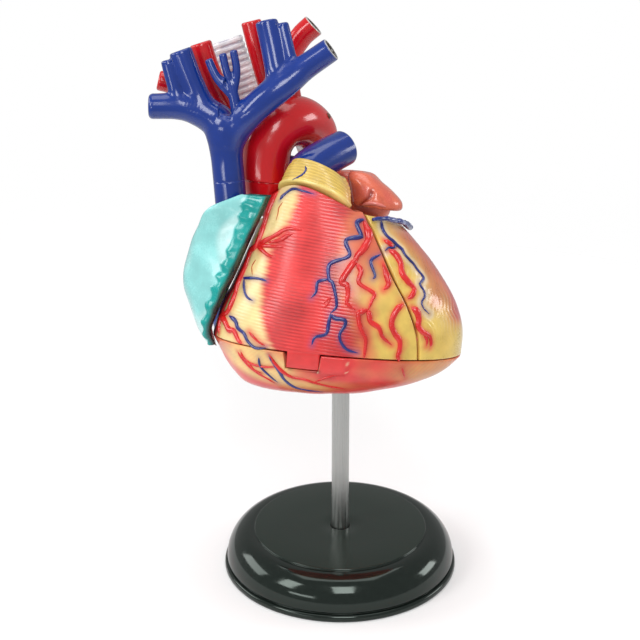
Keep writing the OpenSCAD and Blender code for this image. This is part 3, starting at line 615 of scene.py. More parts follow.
def attribute(tree, key):
    """Value of a piece's own mark."""
    return node(tree, "ShaderNodeAttribute", attribute_name=key).outputs["Fac"]


def start_material(name, coat=0.35, coat_rough=0.08):
    """A material with a Principled shader whose constant sockets are set on the shader itself."""
    material = bpy.data.materials.new(name)
    material.use_nodes = True
    shader = material.node_tree.nodes["Principled BSDF"]
    shader.inputs["Coat Weight"].default_value = coat
    shader.inputs["Coat Roughness"].default_value = coat_rough
    shader.inputs["Specular IOR Level"].default_value = 0.5
    return material, material.node_tree, shader


def spray(tree, shader, colour, gloss, mottle=0.12, peel=0.1):
    """Ends a paint's nodes: the sprayed paint group between its colour and its shader."""
    group = node(tree, "ShaderNodeGroup", node_tree=shared("sprayed", sprayed_group))
    if isinstance(colour, bpy.types.NodeSocket):
        tree.links.new(colour, group.inputs["Color"])
    else:
        group.inputs["Color"].default_value = colour
    group.inputs["Gloss"].default_value = gloss
    group.inputs["Mottle"].default_value = mottle
    group.inputs["Peel"].default_value = peel
    tree.links.new(group.outputs["Color"], shader.inputs["Base Color"])
    tree.links.new(group.outputs["Roughness"], shader.inputs["Roughness"])
    tree.links.new(group.outputs["Normal"], shader.inputs["Normal"])
    return group


def plain_paint(name, colour, gloss=0.3, mottle=0.1, coat=0.35):
    """One sprayed colour."""
    material, tree, shader = start_material(name, coat)
    spray(tree, shader, colour, gloss, mottle)
    return material


def layered_paint(name, ground, layers, gloss=0.3, mottle=0.12, peel=0.15, coat=0.3, coat_rough=0.1):
    """Ground colour with sprayed layers over it, each (mark, colour), in order."""
    material, tree, shader = start_material(name, coat, coat_rough)
    source = ground
    for key, colour in layers:
        source = mixed(tree, attribute(tree, key), source, colour)
    spray(tree, shader, source, gloss, mottle, peel)
    return material


# ---------------------------------------------------------------- paints of this model

CREAM = srgb(243, 216, 150)
CORAL = srgb(226, 58, 58)
YELLOW = srgb(230, 196, 98)
DUSTY = srgb(224, 120, 84)
TAN = srgb(204, 136, 78)
ROSE = srgb(203, 76, 112)
PALE = srgb(236, 214, 176)
RED = srgb(204, 16, 24)
BLUE = srgb(14, 50, 134)
PURPLE = srgb(120, 80, 130)
SALMON = srgb(222, 108, 80)
AQUA = srgb(142, 212, 210)
AQUA_PALE = srgb(190, 230, 228)
TEAL = srgb(0, 158, 152)
# Deep teal of the painted shade on the right auricle.
TEAL_SHADE = srgb(8, 58, 60)
SHADOW_RED = srgb(150, 22, 30)
LILAC = srgb(220, 222, 226)
# Painted shade: the near-black brown laid inside open vessel ends and the windpipe.
BORE_SHADE = srgb(62, 56, 52)
SILVER = srgb(196, 194, 188)
INSIDE = srgb(226, 120, 104)


def vessel_paint(name, colour, gloss=0.2):
    """Glossy vessel paint with a pale worn rim and a dark bore at the open mouths."""
    material, tree, shader = start_material(name, coat=0.35, coat_rough=0.04)
    rimmed = mixed(tree, attribute(tree, "rim"), colour, SILVER)
    source = mixed(tree, attribute(tree, "bore"), rimmed, BORE_SHADE)
    spray(tree, shader, source, gloss, mottle=0.06, peel=0.06)
    return material


def brushed_metal(name):
    """Drawn metal: fine lines along the rod vary the roughness and the value, under long reflections."""
    material, tree, shader = start_material(name, coat=0.0)
    shader.inputs["Metallic"].default_value = 1.0
    place = node(tree, "ShaderNodeTexCoord").outputs["Object"]
    stretch = node(tree, "ShaderNodeMapping", [("Vector", place)])
    stretch.inputs["Scale"].default_value = (9000, 9000, 60)
    lines = node(tree, "ShaderNodeTexNoise", [("Vector", stretch.outputs[0])], in_2=1.0, in_3=2.0)
    rough = node(tree, "ShaderNodeMapRange", [(0, lines.outputs[0])], in_1=0.3, in_2=0.7, in_3=0.24, in_4=0.42)
    tone = mixed(tree, lines.outputs[0], srgb(150, 151, 150), srgb(196, 197, 194))
    tree.links.new(tone, shader.inputs["Base Color"])
    tree.links.new(rough.outputs[0], shader.inputs["Roughness"])
    bump = node(tree, "ShaderNodeBump", [("Height", lines.outputs[0])])
    bump.inputs["Distance"].default_value = 0.00001
    bump.inputs["Strength"].default_value = 0.3
    tree.links.new(bump.outputs[0], shader.inputs["Normal"])
    return material


def moulded_black(name):
    """Polished black moulding with a green cast, its disc a little duller and faint dust over it."""
    material, tree, shader = start_material(name, coat=0.0)
    shader.inputs["Specular Tint"].default_value = (0.86, 1.0, 0.92, 1)
    place = node(tree, "ShaderNodeTexCoord").outputs["Object"]
    dust = node(tree, "ShaderNodeTexNoise", [("Vector", place)], in_2=900.0, in_3=6.0)
    haze = node(tree, "ShaderNodeMapRange", [(0, dust.outputs[0])], in_1=0.35, in_2=0.75, in_3=0.0, in_4=0.12)
    tone = mixed(tree, haze.outputs[0], srgb(14, 21, 18), srgb(44, 52, 48))
    disc = mixed(tree, attribute(tree, "disc"), tone, srgb(24, 34, 28))
    tree.links.new(disc, shader.inputs["Base Color"])
    rough = node(tree, "ShaderNodeMapRange", [(0, dust.outputs[0])], in_1=0.3, in_2=0.7, in_3=0.08, in_4=0.15)
    duller = node(tree, "ShaderNodeMath", [(0, attribute(tree, "disc")), (2, rough.outputs[0])],
                  operation="MULTIPLY_ADD", in_1=0.12)
    tree.links.new(duller.outputs[0], shader.inputs["Roughness"])
    return material


SHARED_PAINT = {}


def mix_paints():
    """Paints that several pieces share."""
    SHARED_PAINT["blue"] = vessel_paint("vessel blue", BLUE)
    SHARED_PAINT["red"] = vessel_paint("vessel red", RED)
    SHARED_PAINT["vein"] = plain_paint("coronary blue", srgb(34, 42, 118), 0.22, mottle=0.25, coat=0.6)
    SHARED_PAINT["artery"] = plain_paint("coronary red", srgb(216, 34, 34), 0.28, mottle=0.12, coat=0.5)
    SHARED_PAINT["twig"] = plain_paint("thin twigs", srgb(188, 92, 40), 0.35, mottle=0.2)


# ---------------------------------------------------------------- stand

def build_stand(sizes):
    """Stand: one profile turned round Z, with a rounded lip, a groove, a quarter-ellipse shoulder, a step ring and a
    disc with the rod's hole. Rod: a turned bar with broken edges."""
    black = moulded_black("moulded black")
    lip, groove, top, disc_r = 1.6, 0.5, 9.7, 20.0
    a = np.radians(np.linspace(0, 90, 28))
    shoulder = np.column_stack([20.6 + 5.85 * np.cos(a), 2.1 + 7.1 * np.sin(a)])
    ring_a = np.radians(np.linspace(0, 90, 6))
    ring = np.column_stack([disc_r - 0.3 + 0.3 * np.cos(ring_a), top - 0.3 + 0.3 * np.sin(ring_a)])
    profile = [[0.6, 0], [3.7, 0], [4, 0.3], [4, 7.4], [4.3, 7.7], [15.8, 7.7], [16.4, 7.5], [18.6, 5.4], [22.9, 1.8],
               [23, 0.3], [23.3, 0], [26.5, 0], [26.8, 0.1], [27, 0.35], [27, 0.9], [26.93, 1.25], [26.7, 1.5],
               [26.4, lip], [26.1, lip + 0.02], [26.0, lip + 0.12], [26.05, lip + groove - 0.1]]
    hole = [[12, top], [6, top], [2.45, top], [2.3, top - 0.05], [2.12, top - 0.25], [2.06, top - 0.6], [2.05, 1.9],
            [0.6, 1.8]]
    profile = np.vstack([profile, shoulder, [[20.35, 9.2], [20.12, 9.2], [20.02, 9.24]], ring, hole])
    points, faces = lathe(profile, sizes.stand_sides)
    flat = (np.abs(points[:, 2] - top) < 0.1) & (np.hypot(points[:, 0], points[:, 1]) < disc_r)
    add_piece("stand", points, faces, black, "stand", ["display_base"],
              {"disc": flat.astype(float)}, in_row=True)

    low, high, r, edge = 1.8, CUT_Z + 6, 2.0, 0.25
    rows = [[r - edge, low], [r, low + edge]] + [[r, z] for z in np.linspace(low + 2, high - 2, 20)]
    points, faces = lathe(rows + [[r, high - edge], [r - edge, high]], 96)
    add_piece("rod", points, faces, brushed_metal("brushed metal"), "rod", ["support_rod"], in_row=True)


# ---------------------------------------------------------------- walls

def edge_round(distance, radius):
    """How deep a surface sinks at a distance from its edge, so that the edge is a quarter circle."""
    gap = np.clip(radius - distance, 0, radius)
    return radius - np.sqrt(radius**2 - gap**2)


def close_sheets(outer, inner):
    """Closed body between two grids of equal size: outer faces out, inner faces in, and four edge strips."""
    rows, cols = outer.shape[:2]
    count = rows * cols
    sheet = grid_quads(rows, cols)
    border = np.concatenate([np.arange(cols), np.arange(1, rows) * cols + cols - 1,
                             (rows - 1) * cols + np.arange(cols - 2, -1, -1), np.arange(rows - 2, 0, -1) * cols])
    after = np.roll(border, -1)
    strip = np.stack([border, border + count, after + count, after], -1)
    return np.vstack([outer.reshape(-1, 3), inner.reshape(-1, 3)]), [sheet, sheet[:, ::-1] + count, strip]


def wall_grid(low, top, start_angle, end_angle, rows, cols, deep=0.0):
    """Heights and angles of a wall's grid: rows from low to the height top(v, deep), columns between two angle rules;
    and how far each spot is from the nearest edge."""
    u = np.linspace(0, 1, rows)[:, None]
    v = np.linspace(0, 1, cols)[None, :]
    high = top(v, deep)
    z = low + (high - low) * u
    start, end = start_angle(z), end_angle(z)
    angle = start + (end - start) * v
    local = np.linalg.norm(np.gradient(skin(z, angle), axis=1), axis=-1) * (cols - 1)
    across = np.minimum(v, 1 - v) * local
    return z, angle, np.minimum(across, np.minimum(z - low, high - z))


WALL_EDGE = 0.35


def wall_body(low, top, start_angle, end_angle, rows, cols, relief):
    """Wall piece: the skin pushed out by relief(points) in mm, rounded at its edges, over an inner sheet."""
    z, angle, border = wall_grid(low, top, start_angle, end_angle, rows, cols)
    flat = skin(z, angle)
    out = relief(flat) * rise(border, 0, 0.5) - edge_round(border, WALL_EDGE)
    outer = flat + grid_normals(flat) * out[..., None]
    z, angle, _ = wall_grid(low, top, start_angle, end_angle, rows, cols, WALL_T)
    return outer, skin(z, angle, WALL_T)


def front_start(z):
    """Angle at which the front wall starts, at its rear left edge."""
    return REAR_END + EDGE_GAP + 0 * z


def front_end(z):
    """Angle at which the front wall ends, at the joint line between the two ventricle walls."""
    return front_angle(z, seam_x(z) - SEAM_GAP * 0.8)


def front_top(v, deep):
    """Height at which the front wall meets the cap's joint plane: a first guess, moved part of the way each step."""
    z = 33.0 + 0 * v
    for _ in range(9):
        p = skin(z, front_start(z) + (front_end(z) - front_start(z)) * v, deep)
        z = z + (cap_joint(p[..., 0], p[..., 1]) - z) / 1.6
    return np.maximum(z, TOP_SEAM)


def level_line(pixels):
    """A boundary drawn on the photograph, as x for each height z on the skin, for np.interp."""
    p = on_skin(pixels)
    order = np.argsort(p[:, 2])
    return p[order, 2], p[order, 0]


def beyond(points, line, soft):
    """0 to the left of a boundary and 1 to its right, over a soft band in mm."""
    gap = points[..., 0] - np.interp(points[..., 2], *line)
    return rise(gap, -soft / 2, soft / 2)


def spot(points, pixel, wide, high):
    """Soft patch of paint round a point of the photograph, wide and high in mm on the skin."""
    c = on_skin([pixel])[0]
    gap = points - c
    return np.exp(-(gap[..., 0] / wide) ** 2 - (gap[..., 1] / (wide * 1.3)) ** 2 - (gap[..., 2] / high) ** 2)


def tangle(pixels, steps=8):
    """A vessel's line on the photograph, smoothed and laid on the skin."""
    return on_skin(smooth_rows(pixels, steps))


# Coronary vessels as lines of pixels of the photograph, each with a width in mm
FRONT_BLUE = [
    (1.15, [(364, 219), (357, 223), (361, 235), (360, 237), (348, 239), (346, 244), (349, 256), (330, 264), (329, 279),
            (333, 284), (336.6, 305), (330.4, 313.5)]),
    (0.8, [(329, 279), (318, 282), (316, 292), (311, 298)]),
    (0.9, [(330.4, 313.5), (328.6, 324), (326, 334), (315, 337.5), (311.6, 345.5)]),
    (0.95, [(330, 314), (335.4, 318.4), (344.3, 320), (345, 325.5), (340, 333.6), (340.7, 341.6), (347, 349.6),
            (357.7, 353)]),
    (0.85, [(381, 254), (371, 261), (375, 275), (373, 279)]),
    (0.8, [(243, 278), (247, 278), (253.5, 278), (260.6, 279), (266.7, 281)]),
    (0.75, [(244, 279), (244, 286), (245, 293), (248, 298), (253, 300.7)]),
    (1.0, [(229, 315.5), (235.5, 321), (238, 328), (244, 333.5), (248, 341.5), (255.4, 348), (266, 348)]),
    (0.8, [(280, 200), (284, 195), (293, 189), (303, 191), (314, 194)])]
FRONT_RED = [
    (1.9, [(364, 221), (369, 236), (364, 248), (357, 256), (356, 263)]),
    (1.5, [(357, 258), (349, 269), (341.6, 281.8), (347, 285.4), (348, 295), (347, 303), (355, 310.4)]),
    (1.1, [(356, 263), (361, 271), (358.6, 280), (361, 285), (373.8, 293.4), (372, 300.5), (368.4, 309.5)]),
    (1.25, [(368.4, 309.5), (359.5, 313), (358.6, 319), (361, 329), (365.7, 339), (365.3, 348), (364, 359)]),
    (1.3, [(368.4, 309.5), (369.3, 315.7), (371, 322), (379, 328), (382.7, 337), (391.6, 345)]),
    (1.5, [(383, 263), (388, 280), (388, 285.4), (383.6, 289.8)]),
    (1.5, [(403, 304), (396, 311), (391.6, 323), (394.3, 332.7), (399.6, 340.7), (399.6, 350.5), (398, 356),
           (399.2, 362)]),
    (1.9, [(278, 191), (268.8, 210), (264.7, 223.7), (257.6, 244), (251.4, 251), (245.3, 267.6), (239, 282),
           (234, 298), (228, 311.4), (221.8, 315.5), (219.3, 325.7), (219, 333)]),
    (1.6, [(221.8, 315.5), (225, 321), (229, 329.5), (234, 331), (238.4, 340), (242, 344)]),
    (1.3, [(258, 244), (267, 240), (276, 235), (287, 229), (302, 230)]),
    (1.1, [(268, 243), (280, 240), (287, 236), (293, 234)]),
    (1.2, [(256, 245), (268, 246), (283, 247)]),
    (1.1, [(257, 246), (262, 250), (268, 255), (276, 258)]),
    (0.7, [(324, 303), (330, 298), (326, 306), (322, 308)]),
    (0.7, [(249, 332), (254.5, 338), (260, 343), (265, 345.5)])]
FRONT_THIN = [
    (0.45, [(283, 202), (279, 208), (278, 214), (276, 221)]),
    (0.45, [(256.5, 259), (252.4, 265.5), (252, 270), (252.4, 275)])]
SIDE_BLUE = [
    (0.85, [(381, 220), (382.6, 229), (386.8, 235.7), (392.8, 240.8), (397, 245), (402, 249.3), (404.7, 254.4),
            (409, 259.5), (413.2, 263.8), (416.6, 268.9), (421.7, 274.8), (423.4, 279), (420, 284.2), (423.4, 290.1),
            (424.6, 296), (421.7, 302), (423.4, 308), (429.3, 314)]),
    (0.65, [(397, 245), (392.8, 247.6), (388.5, 247.6), (385, 251)])]
SIDE_RED = [
    (1.4, [(384, 240), (389, 243), (394, 248)]),
    (1.9, [(389, 250), (395.3, 254.4), (400.4, 263), (402, 273), (407.2, 280.8), (414, 288.4), (412.3, 295.2),
           (408, 298.6)]),
    (1.5, [(411.5, 307.1), (416.6, 311.4), (418.8, 319), (418.4, 325.9), (422.5, 331.8), (429.3, 336), (431, 342.9),
           (429.8, 347)]),
    (0.9, [(424, 334), (427, 340), (426.5, 346)])]
FLOOR_BLUE = [
    (0.9, [(268.8, 355.3), (273.4, 362.3), (279.7, 371.7), (284.3, 379.4), (293.6, 386.4), (304.5, 389.5),
           (323, 391.9)]),
    (0.6, [(258.7, 357.7), (259.4, 363.9), (262.5, 369.3), (271.9, 377.9), (278, 382.5)])]
FLOOR_RED = [
    (0.7, [(237.7, 351.4), (242.3, 358.4), (250, 367), (257.9, 373.2), (267.2, 378.7), (275, 383.3)]),
    (0.7, [(240.8, 351.4), (243.9, 357.7), (251.7, 363.9), (264, 367), (276.5, 367)]),
    (0.9, [(268.8, 354.5), (275, 363.9), (282.8, 371.7), (292, 377), (304.5, 379.4), (313.9, 382.5), (329.4, 386.4),
           (345, 388.8)]),
    (0.5, [(313.9, 382.5), (323, 378.7), (335.6, 375.5), (345, 373.2), (349, 368)]),
    (0.5, [(249, 362.5), (254, 369.5), (262, 373.5)]),
    (0.5, [(402, 368), (403.5, 373), (405, 379)])]


def bead(path, normal, width, taper_to=0.45):
    """Raised vessel: a flattened tube whose line lies on a surface, half sunk in it and tapered at both ends."""
    keep = np.r_[True, np.linalg.norm(np.diff(path, axis=0), axis=1) > 0.02]
    path, normal = path[keep], normal[keep]
    side = unit(np.cross(normal, headings(path)))
    s = np.linspace(0, 1, len(path))
    taper = np.clip(np.minimum(s, 1 - s) * len(path) / 5, 0, 1) ** 0.5 * (taper_to + (1 - taper_to) * (1 - s) ** 0.7)
    half = width / 2 * np.maximum(taper, 0.12) * (1 + 0.12 * ripple(path, 3.0, 5))
    a = np.linspace(0, 2 * math.pi, 14, endpoint=False)
    rings = (path[:, None, :] + (half[:, None] * np.cos(a))[..., None] * side[:, None, :]
             + (half[:, None] * 0.85 * np.sin(a))[..., None] * normal[:, None, :])
    if (np.cross(rings[0, 1] - rings[0, 0], rings[1, 0] - rings[0, 0]) @ (rings[0, 0] - path[0])) < 0:
        rings = rings[:, ::-1]
    return stack(rings)


def vessel_on_skin(pixels, width):
    """Bead along a line of pixels of the photograph, laid on the skin."""
    path = tangle(pixels)
    return bead(path, skin_normal(path), width)


def add_vessels(name, lines, material, body):
    """Joins one body's coronary vessels of one colour into a piece."""
    points, faces = join([vessel_on_skin(np.array(p, float), w) for w, p in lines])
    return add_piece(name, points, faces, material, body)


def add_bead_on(name, piece, pixels, width, material, body):
    """Bead along a line of pixels, laid on another piece."""
    path, normal = on_piece(piece, smooth_rows(np.array(pixels, float), 6))
    points, faces = bead(path, normal, width, 0.8)
    return add_piece(name, points, faces, material, body)


def front_relief(points):
    """Fine level grooves of the front wall, fading out to its right and towards its cream edge."""
    x, z = points[..., 0], points[..., 2]
    keep = 1 - beyond(points, LINES["right"], 5.0)
    left = 0.35 + 0.65 * beyond(points, LINES["cream"], 6.0)
    phase = (z + 0.075 * x) / GROOVE_PITCH
    wave = -(0.5 + 0.5 * np.cos(2 * math.pi * phase)) ** 2.2
    return 0.1 * wave * keep * left * (0.8 + 0.2 * ripple(points, 9.0, 3)) + 0.06 * ripple(points, 11.0, 8)


GROOVE_PITCH = 0.72
LINES = {}


def draw_lines():
    """Boundaries between the sprayed colours, as lines on the skin."""
    LINES["cream"] = level_line([(298, 195), (295, 205), (291, 217), (283, 230), (275, 240), (268, 256), (262, 284),
                                 (261, 305), (262, 323), (267, 336), (272, 349)])
    LINES["right"] = level_line([(352, 208), (348, 222), (345, 236), (339, 256), (335, 275), (345, 297), (354, 313),
                                 (356, 330), (358, 352)])


def front_marks(points, red, blue):
    """Paint marks of the front wall: cream edge, coral field with a fine comb at its edges, yellow to the right."""
    x, z = points[:, 0], points[:, 2]
    crest = 0.5 + 0.5 * np.cos(2 * math.pi * (z + 0.075 * x) / GROOVE_PITCH + math.pi)
    comb = 0.5 * ripple(np.column_stack([x * 0.05, 0 * x, z * 4.2]), 4.0, 11) * (0.3 + 0.7 * crest)
    gap_left = x - np.interp(z, *LINES["cream"]) + comb
    gap_right = x - np.interp(z, *LINES["right"]) + 0.9 * ripple(points, 5.0, 12)
    coral = rise(gap_left, -1.0, 1.2)
    dusty = rise(gap_right, -2.5, 1.5)
    yellow = rise(gap_right, -0.5, 6.0) * (1 - np.clip(spot(points, (370, 238), 8.5, 8.0) * 1.25, 0, 1))
    yellow = np.clip(yellow - 0.25 * rise(ripple(points, 6.0, 13), 0.2, 1.0), 0, 1)
    # Painted shade: a darker red laid in the valleys of the grooves, strongest on the coral field.
    groove = np.clip(-front_relief(points) / 0.1, 0, 1)
    purple = spot(points, (237, 271), 1.3, 5.0) + spot(points, (241, 262), 1.2, 2.5) * 0.6
    return {"coral": coral, "dusty": dusty, "yellow": yellow,
            "groove": groove * (0.55 * coral * (1 - yellow) + 0.12), "red_near": nearness(points, red, 1.0) * 0.7,
            "blue_near": nearness(points, blue, 0.8) * 0.5, "purple": np.clip(purple, 0, 1) * 0.8}


def side_marks(points, red, blue):
    """Paint marks of the side wall: yellow ground with tan, coral, rose and pale airbrushed areas along its right
    edge, and pale outlines beside the blue vessel."""
    drift = ripple(points, 9.0, 21)
    tan = along_line(points, [(396, 224), (408, 238), (420, 254), (430, 270), (437, 288)], 12.0)
    coral = along_line(points, [(412, 230), (428, 248), (442, 268), (451, 284), (457, 300), (460, 314)], 10.5)
    rose = along_line(points, [(452, 276), (460, 292), (463, 308)], 6.0)
    patch = spot(points, (436, 302), 2.6, 2.0) * 0.6
    pale = np.clip(spot(points, (463, 330), 2.6, 2.2) + spot(points, (394, 222), 2.6, 2.2) * 0.8, 0, 1)
    # Painted highlight: pale bands on both sides of the blue vessel, for its glints.
    outline = np.clip(nearness(points, blue, 1.0) - nearness(points, blue, 0.6), 0, 1)
    return {"tan": np.clip(tan + 0.08 * drift, 0, 1), "coral": np.clip(coral * 1.15 + patch, 0, 1),
            "rose": np.clip(rose * 0.8, 0, 1),
            "pale": np.clip(pale * 0.7 + 2.2 * outline + 0.5 * side_streaks(points), 0, 1),
            "red_near": nearness(points, red, 1.0) * 0.7, "blue_near": nearness(points, blue, 0.7) * 0.4}


def side_streaks(points):
    """Fine upright lines near the right edge of the side wall, 0 to 1."""
    lines = np.sin((points[..., 0] + 0.35 * points[..., 2] + 0.25 * np.sin(points[..., 2] * 1.3)) * 2 * math.pi / 0.75)
    return rise(lines, 0.3, 1.0) * spot(points, (451, 312), 3.2, 4.6)


def inside_mark(outer, total):
    """1 on the inner sheet and 0 on the outer, for a body made by close_sheets()."""
    return np.r_[np.zeros(outer), np.ones(total - outer)]


def paths_of(lines):
    """Dense points of several vessels on the skin, thinned for the distance search."""
    return [tangle(np.array(p, float), 6) for _, p in lines]


def build_front_wall(sizes):
    """Front wall of the right ventricle: a grid over the skin between two angle rules with real grooves, its tongue,
    its plug pins, and its coronary vessels."""
    red, blue = paths_of(FRONT_RED), paths_of(FRONT_BLUE)
    # The groove layer is painted shade in the valleys of the grooves.
    paint = layered_paint("front paint", CREAM,
                          [("coral", CORAL), ("dusty", DUSTY), ("yellow", YELLOW), ("groove", SHADOW_RED),
                           ("red_near", CORAL), ("blue_near", PURPLE), ("purple", PURPLE), ("inside", INSIDE)],
                          gloss=0.34)
    outer, inner = wall_body(SEAM_GAP, front_top, front_start, front_end, sizes.wall_rows, sizes.wall_cols,
                             front_relief)
    points, faces = close_sheets(outer, inner)
    count = outer.shape[0] * outer.shape[1]
    marks = front_marks(points, red, blue)
    for key in marks:
        marks[key] = marks[key] * (np.arange(len(points)) < count)
    marks["inside"] = inside_mark(count, len(points))
    add_piece("right_ventricle_front", points, faces, paint, "front_wall",
              ["right_ventricle_wall"], marks)

    z, angle, border = wall_grid(-3.5, lambda v, deep: 1.5 + 0 * v, lambda z: front_angle(z, -12.4 + 0 * z),
                                 lambda z: front_angle(z, -5.2 + 0 * z), 30, 40)
    flat = skin(z, angle, 0.12)
    body = flat - grid_normals(flat) * edge_round(border, 0.4)[..., None]
    points, faces = close_sheets(body, skin(z, angle, WALL_T))
    marks = {key: np.zeros(len(points)) for key in ("yellow", "dusty", "groove", "red_near", "blue_near", "purple",
                                                    "inside")}
    marks["coral"] = np.ones(len(points))
    add_piece("right_ventricle_tongue", points, faces, paint, "front_wall", (), marks)

    pins = [pin([p[0], p[2], p[1]], [p[0], p[3], p[1]], 2.0)
            for p in [[-15, 25, -10, -4.6], [2.5, 25, -13, -7.8], [9.5, 14, -16.2, -11.6]]]
    points, faces = join(pins)
    add_piece("right_ventricle_pins", points, faces, plain_paint("pin paint", INSIDE), "front_wall")

    add_vessels("front_veins", FRONT_BLUE, SHARED_PAINT["vein"], "front_wall")
    add_vessels("front_arteries", FRONT_RED, SHARED_PAINT["artery"], "front_wall")
    add_vessels("front_twigs", FRONT_THIN, SHARED_PAINT["twig"], "front_wall")


def side_relief(points):
    """Side wall: slow undulation, with two arcs low down, fine upright lines near its right edge and small wet
    dimples."""
    c = on_skin([(420, 337)])[0]
    gap = np.linalg.norm(points - c, axis=-1)
    arcs = np.exp(-((gap - 3.4) / 0.2) ** 2) + 0.7 * np.exp(-((gap - 4.2) / 0.2) ** 2)
    arcs = arcs * rise(points[..., 0], c[0], c[0] + 2)
    wet = np.clip(spot(points, (420, 262), 9.0, 12.0) * 1.5, 0, 1)
    return (0.05 * ripple(points, 9.0, 31) + 0.1 * arcs + 0.08 * side_streaks(points)
            + 0.03 * ripple(points, 1.6, 32) * wet)


def build_side_wall(sizes):
    """Wall of the left ventricle: a grid over the skin from the joint line round to the rear, with its pins and its
    coronary vessels, and the vein along its top edge."""
    red, blue = paths_of(SIDE_RED), paths_of(SIDE_BLUE)
    # The pale layer is partly pale paint and partly painted highlight beside the blue vessel.
    paint = layered_paint("side paint", YELLOW,
                          [("tan", TAN), ("coral", srgb(208, 74, 66)), ("rose", ROSE), ("pale", PALE),
                           ("red_near", CORAL), ("blue_near", PURPLE), ("inside", INSIDE)],
                          gloss=0.3, coat=0.5)
    side_top = TOP_SEAM - 2 * SEAM_GAP
    outer, inner = wall_body(SEAM_GAP, lambda v, deep: side_top + (TOP_RIGHT - side_top) * v,
                             lambda z: front_angle(z, seam_x(z) + SEAM_GAP * 0.8),
                             lambda z: 360 + REAR_START - EDGE_GAP + 0 * z, sizes.wall_rows, sizes.wall_cols * 3 // 4,
                             side_relief)
    points, faces = close_sheets(outer, inner)
    count = outer.shape[0] * outer.shape[1]
    marks = side_marks(points, red, blue)
    for key in marks:
        marks[key] = marks[key] * (np.arange(len(points)) < count)
    marks["inside"] = inside_mark(count, len(points))
    add_piece("left_ventricle_side", points, faces, paint, "side_wall", ["left_ventricle_wall"], marks)

    pull = unit([0.75, -0.66, 0])
    pins = [pin(np.array(p), np.array(p) + pull * 4.6, 2.0) for p in [[7.4, -4.2, 25.0], [13.2, -12.6, 5.0]]]
    points, faces = join(pins)
    add_piece("left_ventricle_pins", points, faces, plain_paint("side pin paint", INSIDE), "side_wall")
    add_vessels("side_veins", SIDE_BLUE, SHARED_PAINT["vein"], "side_wall")
    add_vessels("side_arteries", SIDE_RED, SHARED_PAINT["artery"], "side_wall")

    lie = np.array([[0.03, 0.7], [0.18, 0.2], [0.39, 0.15], [0.59, 0.4], [0.75, 0.85], [0.89, 1.6]])
    top = TOP_SEAM - 2 * SEAM_GAP
    z = top + (TOP_RIGHT - top) * lie[:, 0] - lie[:, 1]
    angle = 300 + (360 + REAR_START - EDGE_GAP - 300) * lie[:, 0]
    route = skin(z, angle, -1.5)
    points, faces = tube(route, 0.66, [0.6, 0.8, 0.85, 0.9, 1.1, 1.0], sides=28, steps=16, rounded=True)
    points = points + (skin_normal(points) * (0.16 * ripple(points, 2.6, 41))[:, None])
    # Pale blue-white patches over the vein are painted highlights.
    worn = layered_paint("worn blue", srgb(34, 50, 128), [("worn", srgb(196, 206, 238))], gloss=0.2, coat=0.5)
    add_piece("great_cardiac_vein_bead", points, faces, worn, "side_wall", ["great_cardiac_vein"],
              {"worn": rise(ripple(points, 3.0, 42), 0.1, 0.5) * rise(points[:, 0], 6.0, 15.0) * 0.8})


def build_rear_wall(sizes):
    """Rear of both ventricles: a grid over the skin behind, plain, with slow undulation."""
    paint = layered_paint("rear paint", CORAL, [("yellow", YELLOW), ("inside", INSIDE)], gloss=0.36)
    outer, inner = wall_body(0.02, lambda v, deep: CROWN_TOP + 0 * v, lambda z: REAR_START + 0 * z,
                             lambda z: REAR_END + 0 * z, 90, 180, lambda p: 0.08 * ripple(p, 9.0, 51))
    points, faces = close_sheets(outer, inner)
    count = outer.shape[0] * outer.shape[1]
    band = rise(points[:, 2] + 1.5 * ripple(points, 7.0, 52), 17.0, 24.0)
    groove = np.exp(-((points[:, 0] + 4 + 0.25 * points[:, 2]) / 2.6) ** 2)
    yellow = np.clip(np.maximum(band, groove * 0.8), 0, 1) * (np.arange(len(points)) < count)
    add_piece("ventricles_rear", points, faces, paint, "heart", ["rear_wall"],
              {"yellow": yellow, "inside": inside_mark(count, len(points))})


# ---------------------------------------------------------------- floor

